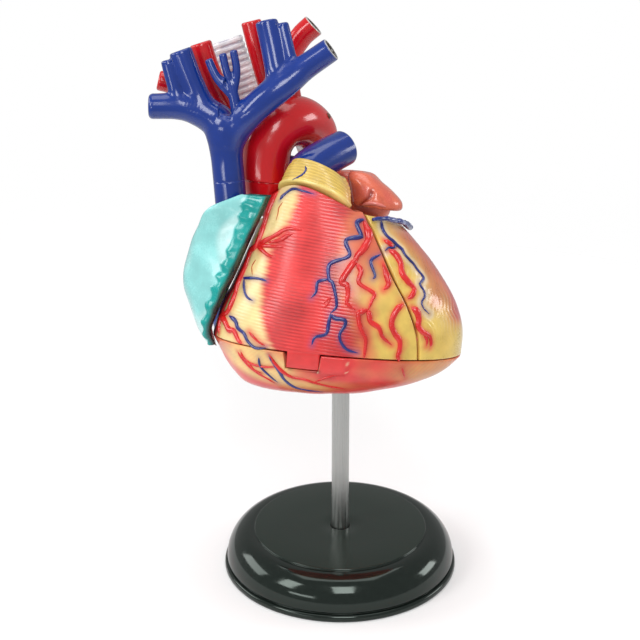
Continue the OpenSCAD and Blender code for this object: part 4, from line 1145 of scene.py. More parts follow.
def build_floor(sizes):
    """Floor of the ventricles: rings of the skin from a rounded bottom up to the joint plane, with the notch for the
    tongue, then down again inside; the rod's socket and three cone-shaped muscles stand in it."""
    notch = [float(front_angle(-2.0, x)) for x in (-12.68, -4.94)]
    a = np.sort(np.r_[np.linspace(0, 360, 420, endpoint=False), notch[0] + np.array([-0.05, 0.05]),
                      notch[1] + np.array([-0.05, 0.05])])
    drop = np.where((a > notch[0]) & (a < notch[1]), -3.65, 0.0)
    depth = np.sin(np.radians(np.r_[76, 73, 70, np.linspace(66, 3, 34), 1.2, 0.4, 0]))
    level = -FLOOR_DEPTH * depth[:, None]
    z = np.where(level > drop[None, :], drop[None, :], level)
    flat = skin(z, a[None, :])
    patch = on_skin([(319, 361), (346, 376)])
    plate_left, plate_low, plate_right = (rise(flat[..., k], at - 0.1, at + 0.1) for k, at in (
        (0, patch[0, 0]), (2, patch[1, 2]), (0, patch[1, 0])))
    plate = plate_left * plate_low * (1 - plate_right) * (flat[..., 1] < 0)
    outline = 4 * plate * (1 - plate)
    swell = 0.08 * ripple(flat, 8.0, 61) + 0.2 * plate - edge_round(drop[None, :] - z, 0.3)
    normal = skin_normal(flat)
    outer = flat + normal * swell[..., None]
    thin = 1 - WALL_T / FLOOR_DEPTH
    steps = np.sin(np.radians(np.linspace(0, 76, 16)))
    z_in = np.minimum(-FLOOR_DEPTH * steps[:, None] * thin, drop[None, :])
    inner = skin(z_in, a[None, :], WALL_T)
    rings = np.vstack([outer, inner])
    points, faces = stack(rings)
    count = outer.shape[0] * outer.shape[1]
    socket = lathe([[0.5, 0], [4, 0], [4, 17.6], [3.6, 18.0], [1, 18.0]], 48)
    low = (np.array([0, 0, -FLOOR_DEPTH + 1.6]) @ TURN)
    socket_points = low + (socket[0] @ TURN)
    cones = [lathe([[2.2, 0], [1.75, 5], [1.3, 10], [0.95, 14.4], [0.5, 15]], 32, about=(p, [0, 0, 1]))
             for p in ([-13, 4, -9.6], [-9, -8, -9], [15.5, 5, -5.6])]
    points, faces = join([(points, faces), (socket_points, socket[1])] + cones)
    on_skin_part = np.arange(len(points)) < count
    red, blue = paths_of(FLOOR_RED), paths_of(FLOOR_BLUE)
    drift = 1.2 * ripple(points, 5.0, 62)
    left = np.clip(spot(points, (248, 359), 7.0, 3.6) * 1.5 + spot(points, (272, 371), 6.0, 3.2)
                   + spot(points, (308, 385), 7.0, 1.3) * 0.8 + 0.08 * drift, 0, 1)
    right = np.clip(spot(points, (432, 371), 8.5, 3.0) * 1.6 + 0.1 * drift, 0, 1)
    low_edge = nearness(points, [on_skin(smooth_rows([(222, 352), (235, 369), (252, 381), (272, 388)], 6))], 1.9)
    # Painted shadow: a brown band under the tongue, where the notch lies in shade.
    brown = nearness(points, [on_skin(smooth_rows([(289, 368.5), (300, 369.6), (310, 370.8), (318, 371.8)], 8))], 0.42)
    fibre = 0.5 + 0.5 * np.sin((points[:, 0] * 0.8 + points[:, 2] * 1.6) * 2 * math.pi / 0.85)
    marks = {"cream": left * (1 - low_edge) * on_skin_part, "tan": right * on_skin_part,
             "groove": fibre * 0.3 * np.clip(right + left * 0.4, 0, 1) * on_skin_part,
             "brown": np.clip(brown * (0.9 + 0.5 * ripple(points, 1.6, 63)), 0, 1) * on_skin_part,
             "red_near": nearness(points, red, 0.7) * 0.6 * on_skin_part,
             "blue_near": nearness(points, blue, 0.7) * 0.35 * on_skin_part, "inside": 1.0 - on_skin_part,
             "pale": np.r_[outline.ravel(), np.zeros(len(points) - outline.size)] * 0.6}
    # The brown layer is painted shadow under the tongue.
    paint = layered_paint("floor paint", CORAL,
                          [("cream", srgb(242, 206, 134)), ("tan", srgb(216, 152, 84)), ("groove", CORAL),
                           ("red_near", RED), ("blue_near", PURPLE), ("brown", srgb(104, 50, 34)),
                           ("pale", PALE), ("inside", INSIDE)],
                          gloss=0.34)
    add_piece("ventricles_floor", points, faces, paint, "heart", ["ventricle_floor"], marks)
    add_vessels("floor_veins", FLOOR_BLUE, SHARED_PAINT["vein"], "heart")
    add_vessels("floor_arteries", FLOOR_RED, SHARED_PAINT["artery"], "heart")


# ---------------------------------------------------------------- cap, auricles and atria

# Rows of the cap: [height above the joint, centre x, centre y, half length, half depth in front, half depth behind,
# share of the joint's slopes, turn of the long way in degrees]
CAP_ROWS = [[0, -8.9, -5.98, 8.9, 3.6, 2.5, 1, 29.3], [1.5, -8.6, -5.7, 8.5, 3.7, 2.9, 0.94, 27],
            [4, -8.3, -4.9, 7.4, 3.8, 3.4, 0.8, 21], [6.2, -8.4, -3.9, 5.9, 3.9, 3.7, 0.66, 13]]
CAP_PITCH = 0.76


def raised(rows, base):
    """Rows of a lump with their heights counted from a base."""
    return [[r[0] + base] + list(r[1:]) for r in rows]


def swollen(rings, out, edge):
    """Closed body through rings, pushed out by out mm and rounded at its two flat ends."""
    normal = grid_normals(np.concatenate([rings, rings[:, :1]], 1))[:, :-1]
    length = np.r_[0, np.cumsum(np.linalg.norm(np.diff(rings.mean(1), axis=0), axis=1))]
    border = np.minimum(length, length[-1] - length)[:, None]
    move = out * rise(border, 0, 0.5) - edge_round(border, edge)
    return stack(rings + normal * move[..., None])


def lump(rows, steps, sides, relief=None, fall=0.0, level_at=0.0, edge=0.4):
    """Closed rounded body through ellipses, pushed out by relief(points)."""
    rings = lump_rings(rows, steps, sides, fall, level_at)
    return swollen(rings, relief(rings) if relief else np.zeros(rings.shape[:2]), edge)


def cap_rings(steps, sides):
    """Levels of the cap: half an ellipse in front and half behind, each laid on a plane of its own slope."""
    r = smooth_rows(CAP_ROWS, steps)[:, None, :]
    a = np.linspace(0, 2 * math.pi, sides, endpoint=False)[None, :]
    u = r[..., 3] * np.cos(a)
    w = np.where(np.sin(a) < 0, r[..., 4], r[..., 5]) * np.sin(a)
    turn = np.radians(r[..., 7])
    dx, dy = u * np.cos(turn) + w * np.sin(turn), w * np.cos(turn) - u * np.sin(turn)
    middle = cap_joint(CAP_ROWS[0][1], CAP_ROWS[0][2]) + CAP_GAP + r[..., 0]
    high = np.maximum(TOP_SEAM + CAP_GAP + r[..., 0], middle - r[..., 6] * (CAP_FALL * dx + CAP_LEAN * dy))
    rings = np.stack([r[..., 1] + dx, r[..., 2] + dy, high], -1)
    return rings, r[..., 0] + 0 * a


def build_cap(sizes):
    """Yellow cap over the outlet: levels that start on the joint plane, with fine grooves, a lip and a thin vein, and
    two plug pins; the pulmonary trunk rises out of it with an open end."""
    rings, height = cap_rings(30, 220)
    wave = 0.5 + 0.5 * np.cos(2 * math.pi * height / CAP_PITCH)
    out = (-0.07 * wave * rise(height, 0.95, 1.3) + 0.22 * (1 - rise(height, 0.75, 1.0))
           + 0.05 * ripple(rings, 4.0, 71))
    points, faces = swollen(rings, out, 0.28)
    ends = np.array([height[0, 0], height[-1, 0]])
    height, wave = np.r_[height.ravel(), ends], np.r_[wave.ravel(), 0, 0]
    paint = layered_paint("cap paint", YELLOW,
                          [("lip", srgb(238, 214, 126)), ("groove", srgb(172, 136, 62)), ("red_near", SALMON)],
                          gloss=0.32)
    # Painted shade in the grooves, and a painted highlight as a paler band along the lip.
    marks = {"lip": 1 - rise(height, 0.7, 1.0), "groove": wave * rise(height, 0.95, 1.3) * 0.4,
             "red_near": rise(points[:, 0], -4.0, -1.0) * 0.3}
    cap = add_piece("outlet_cap", points, faces, paint, "outflow", ["conus_cap"], marks)
    pins = [pin([x, y, 24.3], [x, y, cap_joint(x, y) + CAP_GAP + 2.3], 2.0) for x, y in ((-12.3, -4.6), (-3.4, -7.4))]
    points, faces = join(pins)
    add_piece("outlet_cap_pins", points, faces, plain_paint("cap pin paint", YELLOW), "outflow")
    add_bead_on("outlet_cap_vein", cap, [(305, 166), (306, 169), (304, 173), (300, 176), (292, 180)], 0.5,
                SHARED_PAINT["vein"], "outflow")
    trunk = [[-11.6, -3.8, 36.9], [-10.6, -2.4, 38.6], [-6.9, 1, 41.1], [-2.8, 4.9, 43.3]]
    add_tube("pulmonary_trunk_tube", [(trunk, 4.0, [0.9, 1.04, 1.03, 1], 3.0)], SHARED_PAINT["blue"], "outflow",
             ["pulmonary_trunk"], sides=72)


AURICLE_ROWS = [[-2.3, -28.5, -4.8, -29.6, -2.4, -29.5, 1, 0.9], [1, -30, -7, -32, -1.6, -30.9, 4.5, 1],
                [5, -29.4, -8, -34, -1, -32.2, 7, 1.2], [10, -27.7, -9, -35.7, -1, -33.7, 8, 1.2],
                [15, -25.9, -9.3, -35.5, -1.5, -33.4, 7, 1.4], [22, -23.1, -9.2, -33.6, -3, -32.4, 3.4, 1],
                [28.5, -20.5, -8.8, -30, -7.4, -31, -5.4, 0.8], [32.5, -19, -7.2, -22.6, -7.6, -24.4, -6.6, 0.8]]
AURICLE_T = 1.7
# Width in mm of the auricle's frilled crest, by height
CREST = [[-2.3, 1.0], [1, 1.5], [8, 2.2], [15, 2.8], [20, 3.3], [25, 3.8], [29, 4.6], [32.5, 5.0]]


def arc(front, bulge, rear, t):
    """Quadratic arc through three points at t = 0, half and 1."""
    control = 2 * bulge - (front + rear) / 2
    return (1 - t) ** 2 * front + 2 * t * (1 - t) * control + t * t * rear


def build_right_auricle(sizes):
    """Right auricle: at each height a quadratic arc from its front edge over the bulge to the rear; the front edge
    swells into a scalloped crest that stands proud of the smooth face."""
    rows, cols = 260, 150
    r = curve(AURICLE_ROWS, np.linspace(0, len(AURICLE_ROWS) - 1, rows))[:, None, :]
    t = np.linspace(1, 0, cols)[None, :, None] ** 1.3
    outer_xy = arc(r[..., 1:3], r[..., 3:5], r[..., 5:7], t)
    inner_front = np.concatenate([r[..., 1:2] + r[..., 7:8], r[..., 2:3] + 1.3], -1)
    inner_bulge = r[..., 3:5] + [AURICLE_T, 0.4]
    inner_rear = r[..., 5:7] + [AURICLE_T * 0.9, -0.2]
    inner_xy = arc(inner_front, inner_bulge, inner_rear, t)
    height = np.repeat(r[..., 0], cols, 1)
    outer = np.concatenate([outer_xy, height[..., None]], -1)
    inner = np.concatenate([inner_xy, height[..., None]], -1)
    step = np.linalg.norm(np.diff(outer, axis=1), axis=-1)
    run = np.cumsum(np.concatenate([step[:, ::-1], np.zeros((rows, 1))], 1)[:, :-1], axis=1)
    from_front = np.concatenate([np.zeros((rows, 1)), run], 1)[:, ::-1]
    width = np.interp(height, *np.array(CREST).T)
    scallop = (0.4 * np.sin(2 * math.pi * height / 3.3 + 1.4 * np.sin(height / 2.3))
               + 0.35 * ripple(outer * [0.4, 0.4, 1.0], 3.6, 81))
    gap = from_front - width - scallop
    crest = 1 - rise(gap, -0.35, 0.3)
    across = np.clip(from_front / np.maximum(width + scallop, 0.3), 0, 1)
    knob = 0.12 * np.sin(2 * math.pi * height / 3.3 + 0.8 + 1.4 * np.sin(height / 2.3)) + 0.12 * ripple(outer, 3.2, 82)
    roll = crest * (0.42 + knob) * np.sqrt(np.clip(1 - (2 * across - 1.1) ** 2 * 0.7, 0, 1))
    ends = np.minimum(height - height[0, 0], height[-1, 0] - height)
    border = np.minimum(np.minimum(from_front, from_front[:, :1] - from_front), ends)
    out = roll * rise(border, 0, 0.6) - edge_round(border, 0.75) + 0.12 * ripple(outer, 7.0, 83)
    normal = grid_normals(outer)
    outer = outer + normal * out[..., None]
    points, faces = close_sheets(outer, inner)
    count = rows * cols
    face_side = np.arange(len(points)) < count
    teal = np.r_[crest.ravel(), np.ones(count)]
    cloud = np.r_[rise(ripple(outer, 12.0, 84), 0.0, 0.75).ravel(), np.zeros(count)] * (1 - teal)
    # Painted shade: the inner side and the edges of the crest, in a deep teal.
    dark = np.r_[(1 - rise(border, 0.0, 0.5)).ravel() * teal[:count], np.ones(count)]
    paint = layered_paint("auricle paint", AQUA,
                          [("pale", AQUA_PALE), ("teal", TEAL), ("crevice", srgb(70, 178, 176)), ("dark", TEAL_SHADE)],
                          gloss=0.26, coat=0.5)
    # Painted shade: a deeper teal line where the crest meets the face.
    crevice = np.r_[(np.exp(-(gap / 0.22) ** 2)).ravel(), np.zeros(count)] * 0.6
    add_piece("right_auricle_shell", points, faces, paint, "right_auricle", ["right_auricle"],
              {"pale": cloud * 0.85 * face_side, "teal": teal, "crevice": crevice * face_side, "dark": dark})


def build_left_auricle(sizes):
    """Left auricle: smooth rounded body through ellipses, with a crevice down its front, a crease and the arc of an
    artery along its foot."""
    rows = raised([[0.4, 5.3, -0.4, 5.3, 4.6], [1.2, 5.3, -0.3, 5.7, 5], [2.6, 4.9, -0.2, 5.7, 5],
                   [4.4, 3.7, 0, 4.9, 4.6], [6.1, 2.2, 0.2, 3.9, 3.8], [7.4, 1.2, 0.3, 2.4, 2.5],
                   [7.9, 0.8, 0.3, 0.9, 1]], TOP_SEAM)

    def folds(p, wide):
        high = p[..., 2] - TOP_SEAM
        front = rise(-p[..., 1], 0.5, 3.0)
        left = np.abs(p[..., 0] - 1.5 - 0.55 * high + 0.3 * np.sin(high * 1.7))
        middle = np.abs(p[..., 0] - 6.6 + 0.4 * high + 0.3 * np.sin(high * 2.1))
        return (np.exp(-(left / wide) ** 2) * front * (1 - rise(high, 3.4, 5.0)),
                np.exp(-(middle / wide) ** 2) * front * (1 - rise(high, 2.4, 3.8)))

    def relief(p):
        left, middle = folds(p, 0.75)
        return -0.4 * left - 0.08 * middle + 0.05 * ripple(p, 6.0, 91)

    points, faces = lump(rows, 16, 150, relief, 0.06, 0.0, 0.3)
    # Painted shade: a deep red in the crevice and crease.
    left, middle = folds(points, 0.5)
    rosy = rise(ripple(points, 6.0, 92), -0.2, 0.8)
    paint = layered_paint("left auricle paint", SALMON,
                          [("rosy", srgb(206, 88, 82)), ("crevice", srgb(140, 36, 30))], gloss=0.26, coat=0.5)
    body = add_piece("left_auricle_body", points, faces, paint, "left_auricle", ["left_auricle"],
                     {"rosy": rosy * 0.5, "crevice": np.clip(left * 0.9 + middle * 0.25, 0, 1)})
    # The arc is painted pale rose as a painted highlight on the artery.
    add_bead_on("left_auricle_arc", body, [(360, 206.5), (366, 204), (373, 203.5), (380, 205), (386, 207)], 0.9,
                plain_paint("arc rose", srgb(226, 128, 118), 0.2), "left_auricle")


def build_atria(sizes):
    """The fixed chambers behind the auricles, and the vessels that enter them from behind."""
    right = [[2.5, -29.9, 1.6, 0.7, 2.4], [5, -29.9, 1.8, 1.8, 4.2], [10, -29.8, 2, 3.2, 5.2],
             [16, -28.3, 2, 3.8, 5.4], [22, -26.5, 0.8, 3.7, 4.8], [26.4, -26.6, -0.5, 3.6, 4],
             [28.6, -27, -1, 3.5, 3.5]]
    points, faces = lump(right, 20, 110, lambda p: 0.1 * ripple(p, 6.0, 101), edge=0.4)
    none = np.zeros(len(points))
    add_piece("right_atrium_body", points, faces, SHARED_PAINT["blue"], "heart", ["right_atrium"],
              {"bore": none, "rim": none})
    left = raised([[0.1, 1, 10.4, 6.8, 5.2], [3.5, 1, 11.2, 8.2, 6], [7.5, 0.6, 11.4, 7.6, 5.6],
                   [10.5, 0.4, 11.2, 5, 4], [11.5, 0.4, 11.2, 2.4, 2]], CROWN_TOP)
    points, faces = lump(left, 24, 120, lambda p: 0.1 * ripple(p, 6.0, 102), edge=0.4)
    rosy = rise(ripple(points, 6.0, 103), -0.2, 0.8)
    paint = layered_paint("left atrium paint", SALMON, [("rosy", srgb(206, 88, 82))], gloss=0.28, coat=0.5)
    add_piece("left_atrium_body", points, faces, paint, "heart", ["left_atrium"],
              {"rosy": rosy * 0.5})
    for name, route, drop, cad in (
            ("left_lung_veins", [[3, 14.2, 31.8], [4.8, 16.4, 31.8], [6, 18.6, 31.8]], 4.3, "left_pulmonary_veins"),
            ("right_lung_veins", [[-5.4, 14.2, 31.9], [-9.7, 16.5, 31.9], [-14, 18, 31.9]], 4.1,
             "right_pulmonary_veins")):
        lower = (np.array(route) - [0, 0, drop]).tolist()
        add_tube(name, [(route, 2.0, [], 2.4), (lower, 2.0, [], 2.4)], SHARED_PAINT["red"], "heart",
                 [cad], sides=40)
    add_tube("right_lung_artery", [([[-8, 12.4, 35.6], [-12, 13.2, 37], [-18, 14, 37.4], [-25, 14, 36.6]], 2.6,
                                    [0.96, 1, 1, 0.96], 3.0)], SHARED_PAINT["blue"], "heart",
             ["right_pulmonary_artery"], sides=48)
    root, top = np.array([-19.2, 14, 37.4]), np.array([-22.4, 14, 44.7])
    points, faces = pin(root, top + 0.08 * (top - root), 2.0)
    add_piece("windpipe_pin", points, faces, plain_paint("pin blue", BLUE), "heart")
    add_tube("lower_caval_vein", [([[-28.8, 10.2, 9.6], [-27.8, 12.2, 5.4], [-26, 13.8, -1.4]], 2.7, [0.82, 0.96, 1],
                                   3.0)], SHARED_PAINT["blue"], "heart", ["inferior_vena_cava"],
             sides=48)
    up = unit([-0.16, 0, 0.987])
    joint = np.array([-27.8, -1, 34.6])
    stub = [[-26.9, -1, 29.3], [-27.2, -1, 31], (joint - up * 0.2).tolist()]
    body = tube(stub, 3.5, sides=72, steps=8)
    points, faces = join([body, pin(joint - up * 1.2, joint + up * 3, 3.0)])
    none = np.zeros(len(points))
    add_piece("upper_caval_stub", points, faces, SHARED_PAINT["blue"], "heart", ["superior_vena_cava"],
              {"bore": none, "rim": none})


# ---------------------------------------------------------------- arteries, veins and windpipe

def add_tube(name, routes, material, body, replaces, sides=48, melted=0.0, rounds=3, soft=0.3, shape=None):
    """One piece of one or more tubes, each (route, radius, shares, mouth depth); melted joins them into one skin by a
    remesh of that size. A mouth depth of 0 gives a closed end with a rounded edge, below 0 one of that size."""
    parts, mouths = [], []
    for route, radius, shares, depth in routes:
        last = shares[-1] if len(shares) == len(route) else 1.0
        bevel = -depth if depth < 0 else min(0.45, 0.35 * radius * last)
        parts.append(tube(route, radius, shares, sides, mouth=max(depth, 0), bevel=bevel))
        if depth > 0:
            mouths.append(mouth_of(route, radius, last, BORE_SHARE, depth))
    points, faces = join(parts)
    if shape is not None:
        points = shape(points)
    piece = add_piece(name, points, faces, material, body, replaces)
    if melted:
        melt(piece, routes, melted, rounds, soft)
    mark_mouths(piece, mouths)
    return piece


def levelled(points, sides, count, high, last=False):
    """Turns the first or last count rings of a tube level by degrees, the end one lying flat at height high."""
    rings = points[:len(points) // sides * sides].reshape(-1, sides, 3).copy()
    order = range(len(rings) - 1, len(rings) - 1 - count, -1) if last else range(count)
    for k, i in enumerate(order):
        share = k / count
        middle = rings[i, :, 2].mean()
        rings[i, :, 2] = middle * share + high * (1 - share) + (rings[i, :, 2] - middle) * share
    points = points.copy()
    points[:len(rings) * sides] = rings.reshape(-1, 3)
    points[-1 if last else -2, 2] = high
    return points


def mark_mouths(piece, mouths):
    """Marks a piece's dark bores and their pale rims."""
    points = piece_points(piece)
    mark(piece, "bore", bored(points, mouths))
    rim = np.zeros(len(points))
    for tip, ahead, radius, _ in mouths:
        along = (points - tip) @ ahead
        off = np.linalg.norm(points - tip - along[:, None] * ahead, axis=1)
        outer = radius / BORE_SHARE
        ring = rise(off, radius - 0.04, radius + 0.08) * (1 - rise(off, outer + 0.1, outer + 0.4))
        rim = np.maximum(rim, rise(along, -0.3, -0.12) * ring)
    mark(piece, "rim", rim)


ASCENDING = (-19.6, 4.6)
ROOT_JOINT = 34.4
AORTA_R = 5.4
ARCH_ROUTE = [[-19.62, 4.6, 34.5], [-20, 4.6, 39.4], [-19.6, 4.8, 43.4], [-17.4, 6, 47.1],
              [-13.4, 9.8, 48], [-9.8, 15.4, 45.7], [-8.1, 20.4, 41.2]]


def build_arteries(sizes):
    """Aortic root, arch, descending length and the three arteries of the neck: round tubes along smooth routes."""
    red = SHARED_PAINT["red"]
    root = [[-3.6, -0.4, 26.6], [-5.6, 1, 27.2], [-12.4, 3.6, 28.8], [-18.3, 4.6, 31], [-19.5, 4.6, ROOT_JOINT]]

    def on_crown(points):
        return np.maximum(levelled(points, 72, 8, ROOT_JOINT, True), [-99, -99, CROWN_TOP + 0.02])

    rows = tube(root, AORTA_R, [0.555, 0.61, 0.75, 0.91, 0.98], 72)
    add_piece("aortic_root_tube", on_crown(rows[0]), rows[1], red, "heart", ["aortic_root"],
              {"bore": np.zeros(len(rows[0])), "rim": np.zeros(len(rows[0]))})
    points, faces = pin([*ASCENDING, ROOT_JOINT - 1], [*ASCENDING, ROOT_JOINT + 3], 3.0)
    add_piece("aortic_root_pin", points, faces, plain_paint("pin red", RED), "heart")
    arch = add_tube("aortic_arch", [(ARCH_ROUTE, AORTA_R, [0.985, 1, 1.02, 1.07, 1.05, 0.98, 0.86], 0)], red, "arch",
                    ["aorta"], sides=96, shape=lambda p: levelled(p, 96, 10, ROOT_JOINT + 0.12))
    add_tube("descending_length", [([[-8.3, 20.2, 41.8], [-7.3, 22.2, 37.4], [-7, 22.6, 32], [-7, 22.6, 26]], AORTA_R,
                                    [0.88, 0.86, 0.84, 0.82], 3.0)], red, "arch",
             ["descending_aorta"], sides=72)
    add_bead_on("arch_stub", arch, [(327, 113), (328.5, 116), (329.5, 119)], 1.3, plain_paint("stub brown",
                srgb(96, 58, 34)), "arch")
    stem = [[-23.4, 6, 46], [-25.6, 6, 46.8], [-28.3, 5.6, 48.6], [-31.3, 5.6, 52.8], [-34.4, 5.6, 58.4],
            [-36.6, 5.6, 63.7]]
    arm = [[-32, 6.4, 53.4], [-36, 6.6, 53.5], [-40.4, 6.6, 54], [-45.3, 6.4, 54.7]]
    add_tube("right_neck_arteries", [(stem, 2.25, [1.18, 1.18, 1.18, 1.1, 1.1, 1.12], 0), (arm, 2.25, [], 0)],
             red, "arch", ["brachiocephalic_artery"], sides=48, melted=0.25)
    neck = [[-18.4, 7, 50], [-19.2, 6.6, 52.5], [-21, 6, 56], [-23.7, 5.6, 63.2], [-25.8, 5.6, 69.4]]
    add_tube("left_neck_artery", [(neck, 2.25, [], 0)], red, "arch", ["left_carotid_artery"], sides=56)
    left_arm = [[-14.4, 10.4, 50], [-16, 9.6, 55], [-16.8, 8.8, 61.3], [-14.6, 8.4, 66.5], [-11.8, 8, 69.7]]
    add_tube("left_arm_artery", [(left_arm, 2.25, [1, 1.05, 1.08, 1.12, 1.16], 3.0)], red, "arch",
             ["left_subclavian_artery"], sides=64)


def build_veins(sizes):
    """Tree of the upper veins: tubes along smooth routes, melted into one skin with small fillets in the forks."""
    y = -1.0
    up = unit([-0.16, 0, 0.987])
    joint = np.array([-27.8, y, 34.6])
    right = [(joint + up * 0.1).tolist(), [-28.9, y, 40.7], [-29.7, y, 44.2], [-31.5, y, 47.2], [-35.2, y, 49],
             [-39.8, y, 49.7], [-46.6, y, 49.2]]
    left = [[-28.7, y, 41.5], [-27.1, -2.4, 45.2], [-24.3, -4.6, 49.7], [-20.3, -5.2, 54], [-16.4, -5, 57.5],
            [-13.2, -5, 60.6], [-7.8, -6, 65.1]]
    trunk = 7 / 6
    tubes = [
        (right, 3.0, [trunk, trunk, 1.25, 1.25, 1.12, 0.96, 0.93], -0.9),
        (left, 3.0, [0.98, 1.02, 1.05, 1.08, 1, 0.92, 0.88], 3.0),
        ([[-29.4, -2, 43.4], [-29.3, -2.8, 46.4], [-29, -3.2, 49]], 3.0, [1, 1, 0.7], 0),
        ([[-34.3, y, 49.4], [-37.8, y, 55.8], [-40.6, y, 61.9]], 2.25, [1.15] * 3, 0),
        ([[-18.5, -4.4, 56], [-20.5, -2.6, 63.6], [-22.4, -1.6, 69.8]], 2.25, [1.1] * 3, 0),
        ([[-39.4, -1.6, 49.6], [-41.6, -1.6, 54.6], [-43.3, -1.6, 59.6]], 1.4, [], 0),
        ([[-15.8, -4.2, 59.2], [-17.5, -2.8, 65], [-19, -2, 69.6]], 1.4, [1.04] * 3, 0),
        ([[-27, -4, 49.4], [-28.2, -4, 53.4], [-29, -4, 56.2]], 1.4, [0.95, 0.85, 0.75], 0),
        ([[-28.6, -4.1, 53.2], [-32, -4, 56.6], [-34.3, -3.6, 60.6]], 0.88, [1.03], 0),
        ([[-28.9, -4, 55.8], [-30, -4, 58], [-31.3, -3.8, 62.1]], 0.88, [1.03], 0),
        ([[-28.2, -4.1, 54], [-27.9, -4, 58.4], [-29, -3.8, 63]], 0.88, [1.03], 0)]
    add_tube("upper_vein_tree", tubes, SHARED_PAINT["blue"], "upper_veins", ["brachiocephalic_veins"],
             sides=56, melted=sizes.melt_size, rounds=6, soft=0.5)


def build_windpipe(sizes):
    """Windpipe: a profile with rounded rings turned about its leaning axis, open at the top, and its forked end."""
    root, top = np.array([-19.2, 14, 37.4]), np.array([-22.4, 14, 44.7])
    up = unit(top - root)
    r, start, pitch, ribs, groove, bore = 3.8, 2.2, 1.4, 14, 0.25, 0.66
    end = start + ribs * pitch
    z = np.linspace(start, end, ribs * 16 + 1)
    wave = 0.5 + 0.5 * np.cos(2 * math.pi * (z - start) / pitch + math.pi)
    radius = r - groove + groove * np.clip(wave * 1.35, 0, 1)
    profile = np.column_stack([radius, z])
    profile[0, 0] -= 0.1
    profile[-1, 0] -= 0.1
    inner = [[r * bore + 0.2, end + 0.0], [r * bore, end - 0.25], [r * bore, start + 0.25], [r * bore + 0.2, start]]
    profile = np.vstack([profile, inner, profile[:1]])
    points, faces = lathe(profile, 120, about=(top, up))
    n = len(profile) * 120
    points, faces = points[:n], faces[:1]
    height = (points - top) @ up
    off = np.linalg.norm(points - top - height[:, None] * up, axis=1)
    # Painted shade: a greyer tone in the grooves between the rings, and a near-black brown inside the open top.
    groove_shade = np.exp(-((off - (r - groove)) / 0.12) ** 2)
    paint = layered_paint("windpipe paint", LILAC,
                          [("groove", srgb(168, 164, 180)), ("pale", srgb(238, 236, 238)), ("bore", BORE_SHADE)],
                          gloss=0.36, coat=0.3)
    add_piece("windpipe_rings", points, faces, paint, "windpipe", ["trachea"],
              {"groove": groove_shade * 0.8 * (off > 3.2), "pale": rise(ripple(points, 5.0, 111), 0, 0.8) * 0.7,
               "bore": (off < 2.9) * 1.0 * rise(end - height, 0.2, 0.8)})
    fork = top - 0.6 * up
    low = [top.tolist(), (top + up * 1.0).tolist(), (top + up * 2.1).tolist()]
    right = [fork.tolist(), [-26, 14.6, 43], [-30.4, 15.2, 40.6]]
    left = [fork.tolist(), [-19.4, 15.6, 43.5], [-17.4, 17, 41.8]]
    piece = add_tube("windpipe_fork", [(low, r * 0.9, [], 0), (right, r, [0.62, 0.6, 0.56], 2.1),
                                       (left, r, [0.62, 0.58, 0.5], 2.1)], paint, "windpipe",
                     ["bronchi"], sides=56, melted=0.25)
    p = piece_points(piece)
    mark(piece, "groove", np.zeros(len(p)))
    mark(piece, "pale", rise(ripple(p, 5.0, 112), 0, 0.8) * 0.7)


def paint_inside(sizes):
    """Gives the construction's own septum, crown and valves procedural paints."""
    looks = {"septum": ("septum paint", srgb(214, 110, 92), 0.4, 0.14),
             "valve_crown": ("crown paint", CREAM, 0.4, 0.12),
             "tricuspid_valve": ("leaflets", srgb(232, 226, 214), 0.32, 0.08)}
    looks.update({v: looks["tricuspid_valve"] for v in ("mitral_valve", "aortic_valve", "pulmonary_valve")})
    made = {}
    for name, (title, colour, gloss, mottle) in looks.items():
        if title not in made:
            made[title] = plain_paint(title, colour, gloss, mottle)
        mesh = frame["nodes"][name].data
        mesh.materials.clear()
        mesh.materials.append(made[title])


# ---------------------------------------------------------------- stage

# Radii of the floor's rings, in metres
FLOOR_RINGS = (0.0005, 0.06, 0.12, 0.2, 0.3, 0.42)

FOCUS = (-0.004, 0, 0.055)

# Name, place, width and height of each soft box, in metres, and the setting that holds its power
SOFT_BOXES = [
    ("key box", (0.03, -0.46, 0.5), 0.2, 0.3, "key_watts"),
    ("left box", (-0.43, -0.26, 0.4), 0.16, 0.28, "left_watts"),
    ("window", (-0.54, 0.14, 0.28), 0.36, 0.2, "window_watts"),
    ("low box", (-0.36, -0.47, 0.15), 0.26, 0.05, "low_watts"),
    ("right box", (0.56, 0.1, 0.2), 0.22, 0.16, "right_watts"),
    ("top box", (0.0, 0.12, 0.62), 0.5, 0.4, "top_watts")]


def soft_box(name, at, look_at, wide, high, watts):
    """Rectangular area light that faces a point."""
    data = bpy.data.lights.new(name, "AREA")
    data.shape = "RECTANGLE"
    data.size, data.size_y, data.energy = wide, high, watts
    lamp = bpy.data.objects.new(name, data)
    lamp.location = at
    lamp.rotation_euler = (Vector(look_at) - Vector(at)).to_track_quat("-Z", "Y").to_euler()
    bpy.context.scene.collection.objects.link(lamp)
    return lamp


